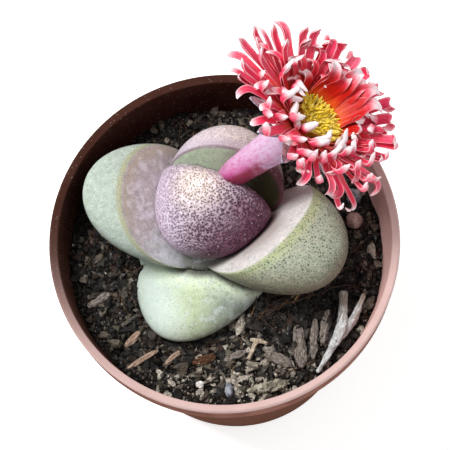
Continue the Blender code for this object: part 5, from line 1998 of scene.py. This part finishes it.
class SPLITROCK_OT_compost(bpy.types.Operator):
    """Fill the pot with compost, crumbs, flakes and fibres"""

    bl_idname = "split_rock.compost"
    bl_label = "Compost"

    def execute(self, context):
        build_compost(context.scene.split_rock.compost)
        build_stem()
        return {"FINISHED"}


class SPLITROCK_OT_litter(bpy.types.Operator):
    """Lay the twigs, chips and stones on the compost"""

    bl_idname = "split_rock.litter"
    bl_label = "Litter"

    def execute(self, context):
        build_litter()
        return {"FINISHED"}


class SPLITROCK_OT_stalk(bpy.types.Operator):
    """Sweep the bent stalk and its sepals"""

    bl_idname = "split_rock.stalk"
    bl_label = "Flower Stalk"

    def execute(self, context):
        build_stalk(context.scene.split_rock.flower)
        return {"FINISHED"}


class SPLITROCK_OT_petals(bpy.types.Operator):
    """Sweep all whorls of petals"""

    bl_idname = "split_rock.petals"
    bl_label = "Petals"

    def execute(self, context):
        build_petals(context.scene.split_rock.flower)
        return {"FINISHED"}


class SPLITROCK_OT_stamens(bpy.types.Operator):
    """Grow the yellow tuft"""

    bl_idname = "split_rock.stamens"
    bl_label = "Stamens"

    def execute(self, context):
        build_stamens(context.scene.split_rock.flower)
        return {"FINISHED"}


class SPLITROCK_OT_stage(bpy.types.Operator):
    """Set the floor, the light and the camera"""

    bl_idname = "split_rock.stage"
    bl_label = "Stage"

    def execute(self, context):
        build_stage(context.scene.split_rock.stage)
        return {"FINISHED"}


STEPS = ("stage", "leaves", "pot", "compost", "litter", "stalk", "petals", "stamens")


class SPLITROCK_PT_panel(bpy.types.Panel):
    """The steps that build the plant, and its settings"""

    bl_idname = "SPLITROCK_PT_panel"
    bl_label = "Split Rock"
    bl_space_type = "VIEW_3D"
    bl_region_type = "UI"
    bl_category = "Split Rock"

    def draw(self, context):
        for step in STEPS:
            self.layout.operator("split_rock." + step)
        for name in LOOKS:
            box = self.layout.box()
            box.label(text=readable(name))
            group = getattr(context.scene.split_rock, name)
            for key in group.bl_rna.properties.keys():
                if key not in ("rna_type", "name"):
                    box.prop(group, key)


CLASSES = (
    *LOOKS.values(), SplitRockLook, SPLITROCK_OT_pot, SPLITROCK_OT_leaves, SPLITROCK_OT_compost,
    SPLITROCK_OT_litter, SPLITROCK_OT_stalk, SPLITROCK_OT_petals, SPLITROCK_OT_stamens, SPLITROCK_OT_stage,
    SPLITROCK_PT_panel,
)


def register():
    for kind in CLASSES:
        bpy.utils.register_class(kind)
    bpy.types.Scene.split_rock = bpy.props.PointerProperty(
        type=SplitRockLook, name="Split rock", description="Settings of the potted split rock"
    )


def unregister():
    del bpy.types.Scene.split_rock
    for kind in reversed(CLASSES):
        bpy.utils.unregister_class(kind)


def main():
    register()
    for step in STEPS:
        getattr(bpy.ops.split_rock, step)()


if __name__ == "__main__":
    main()
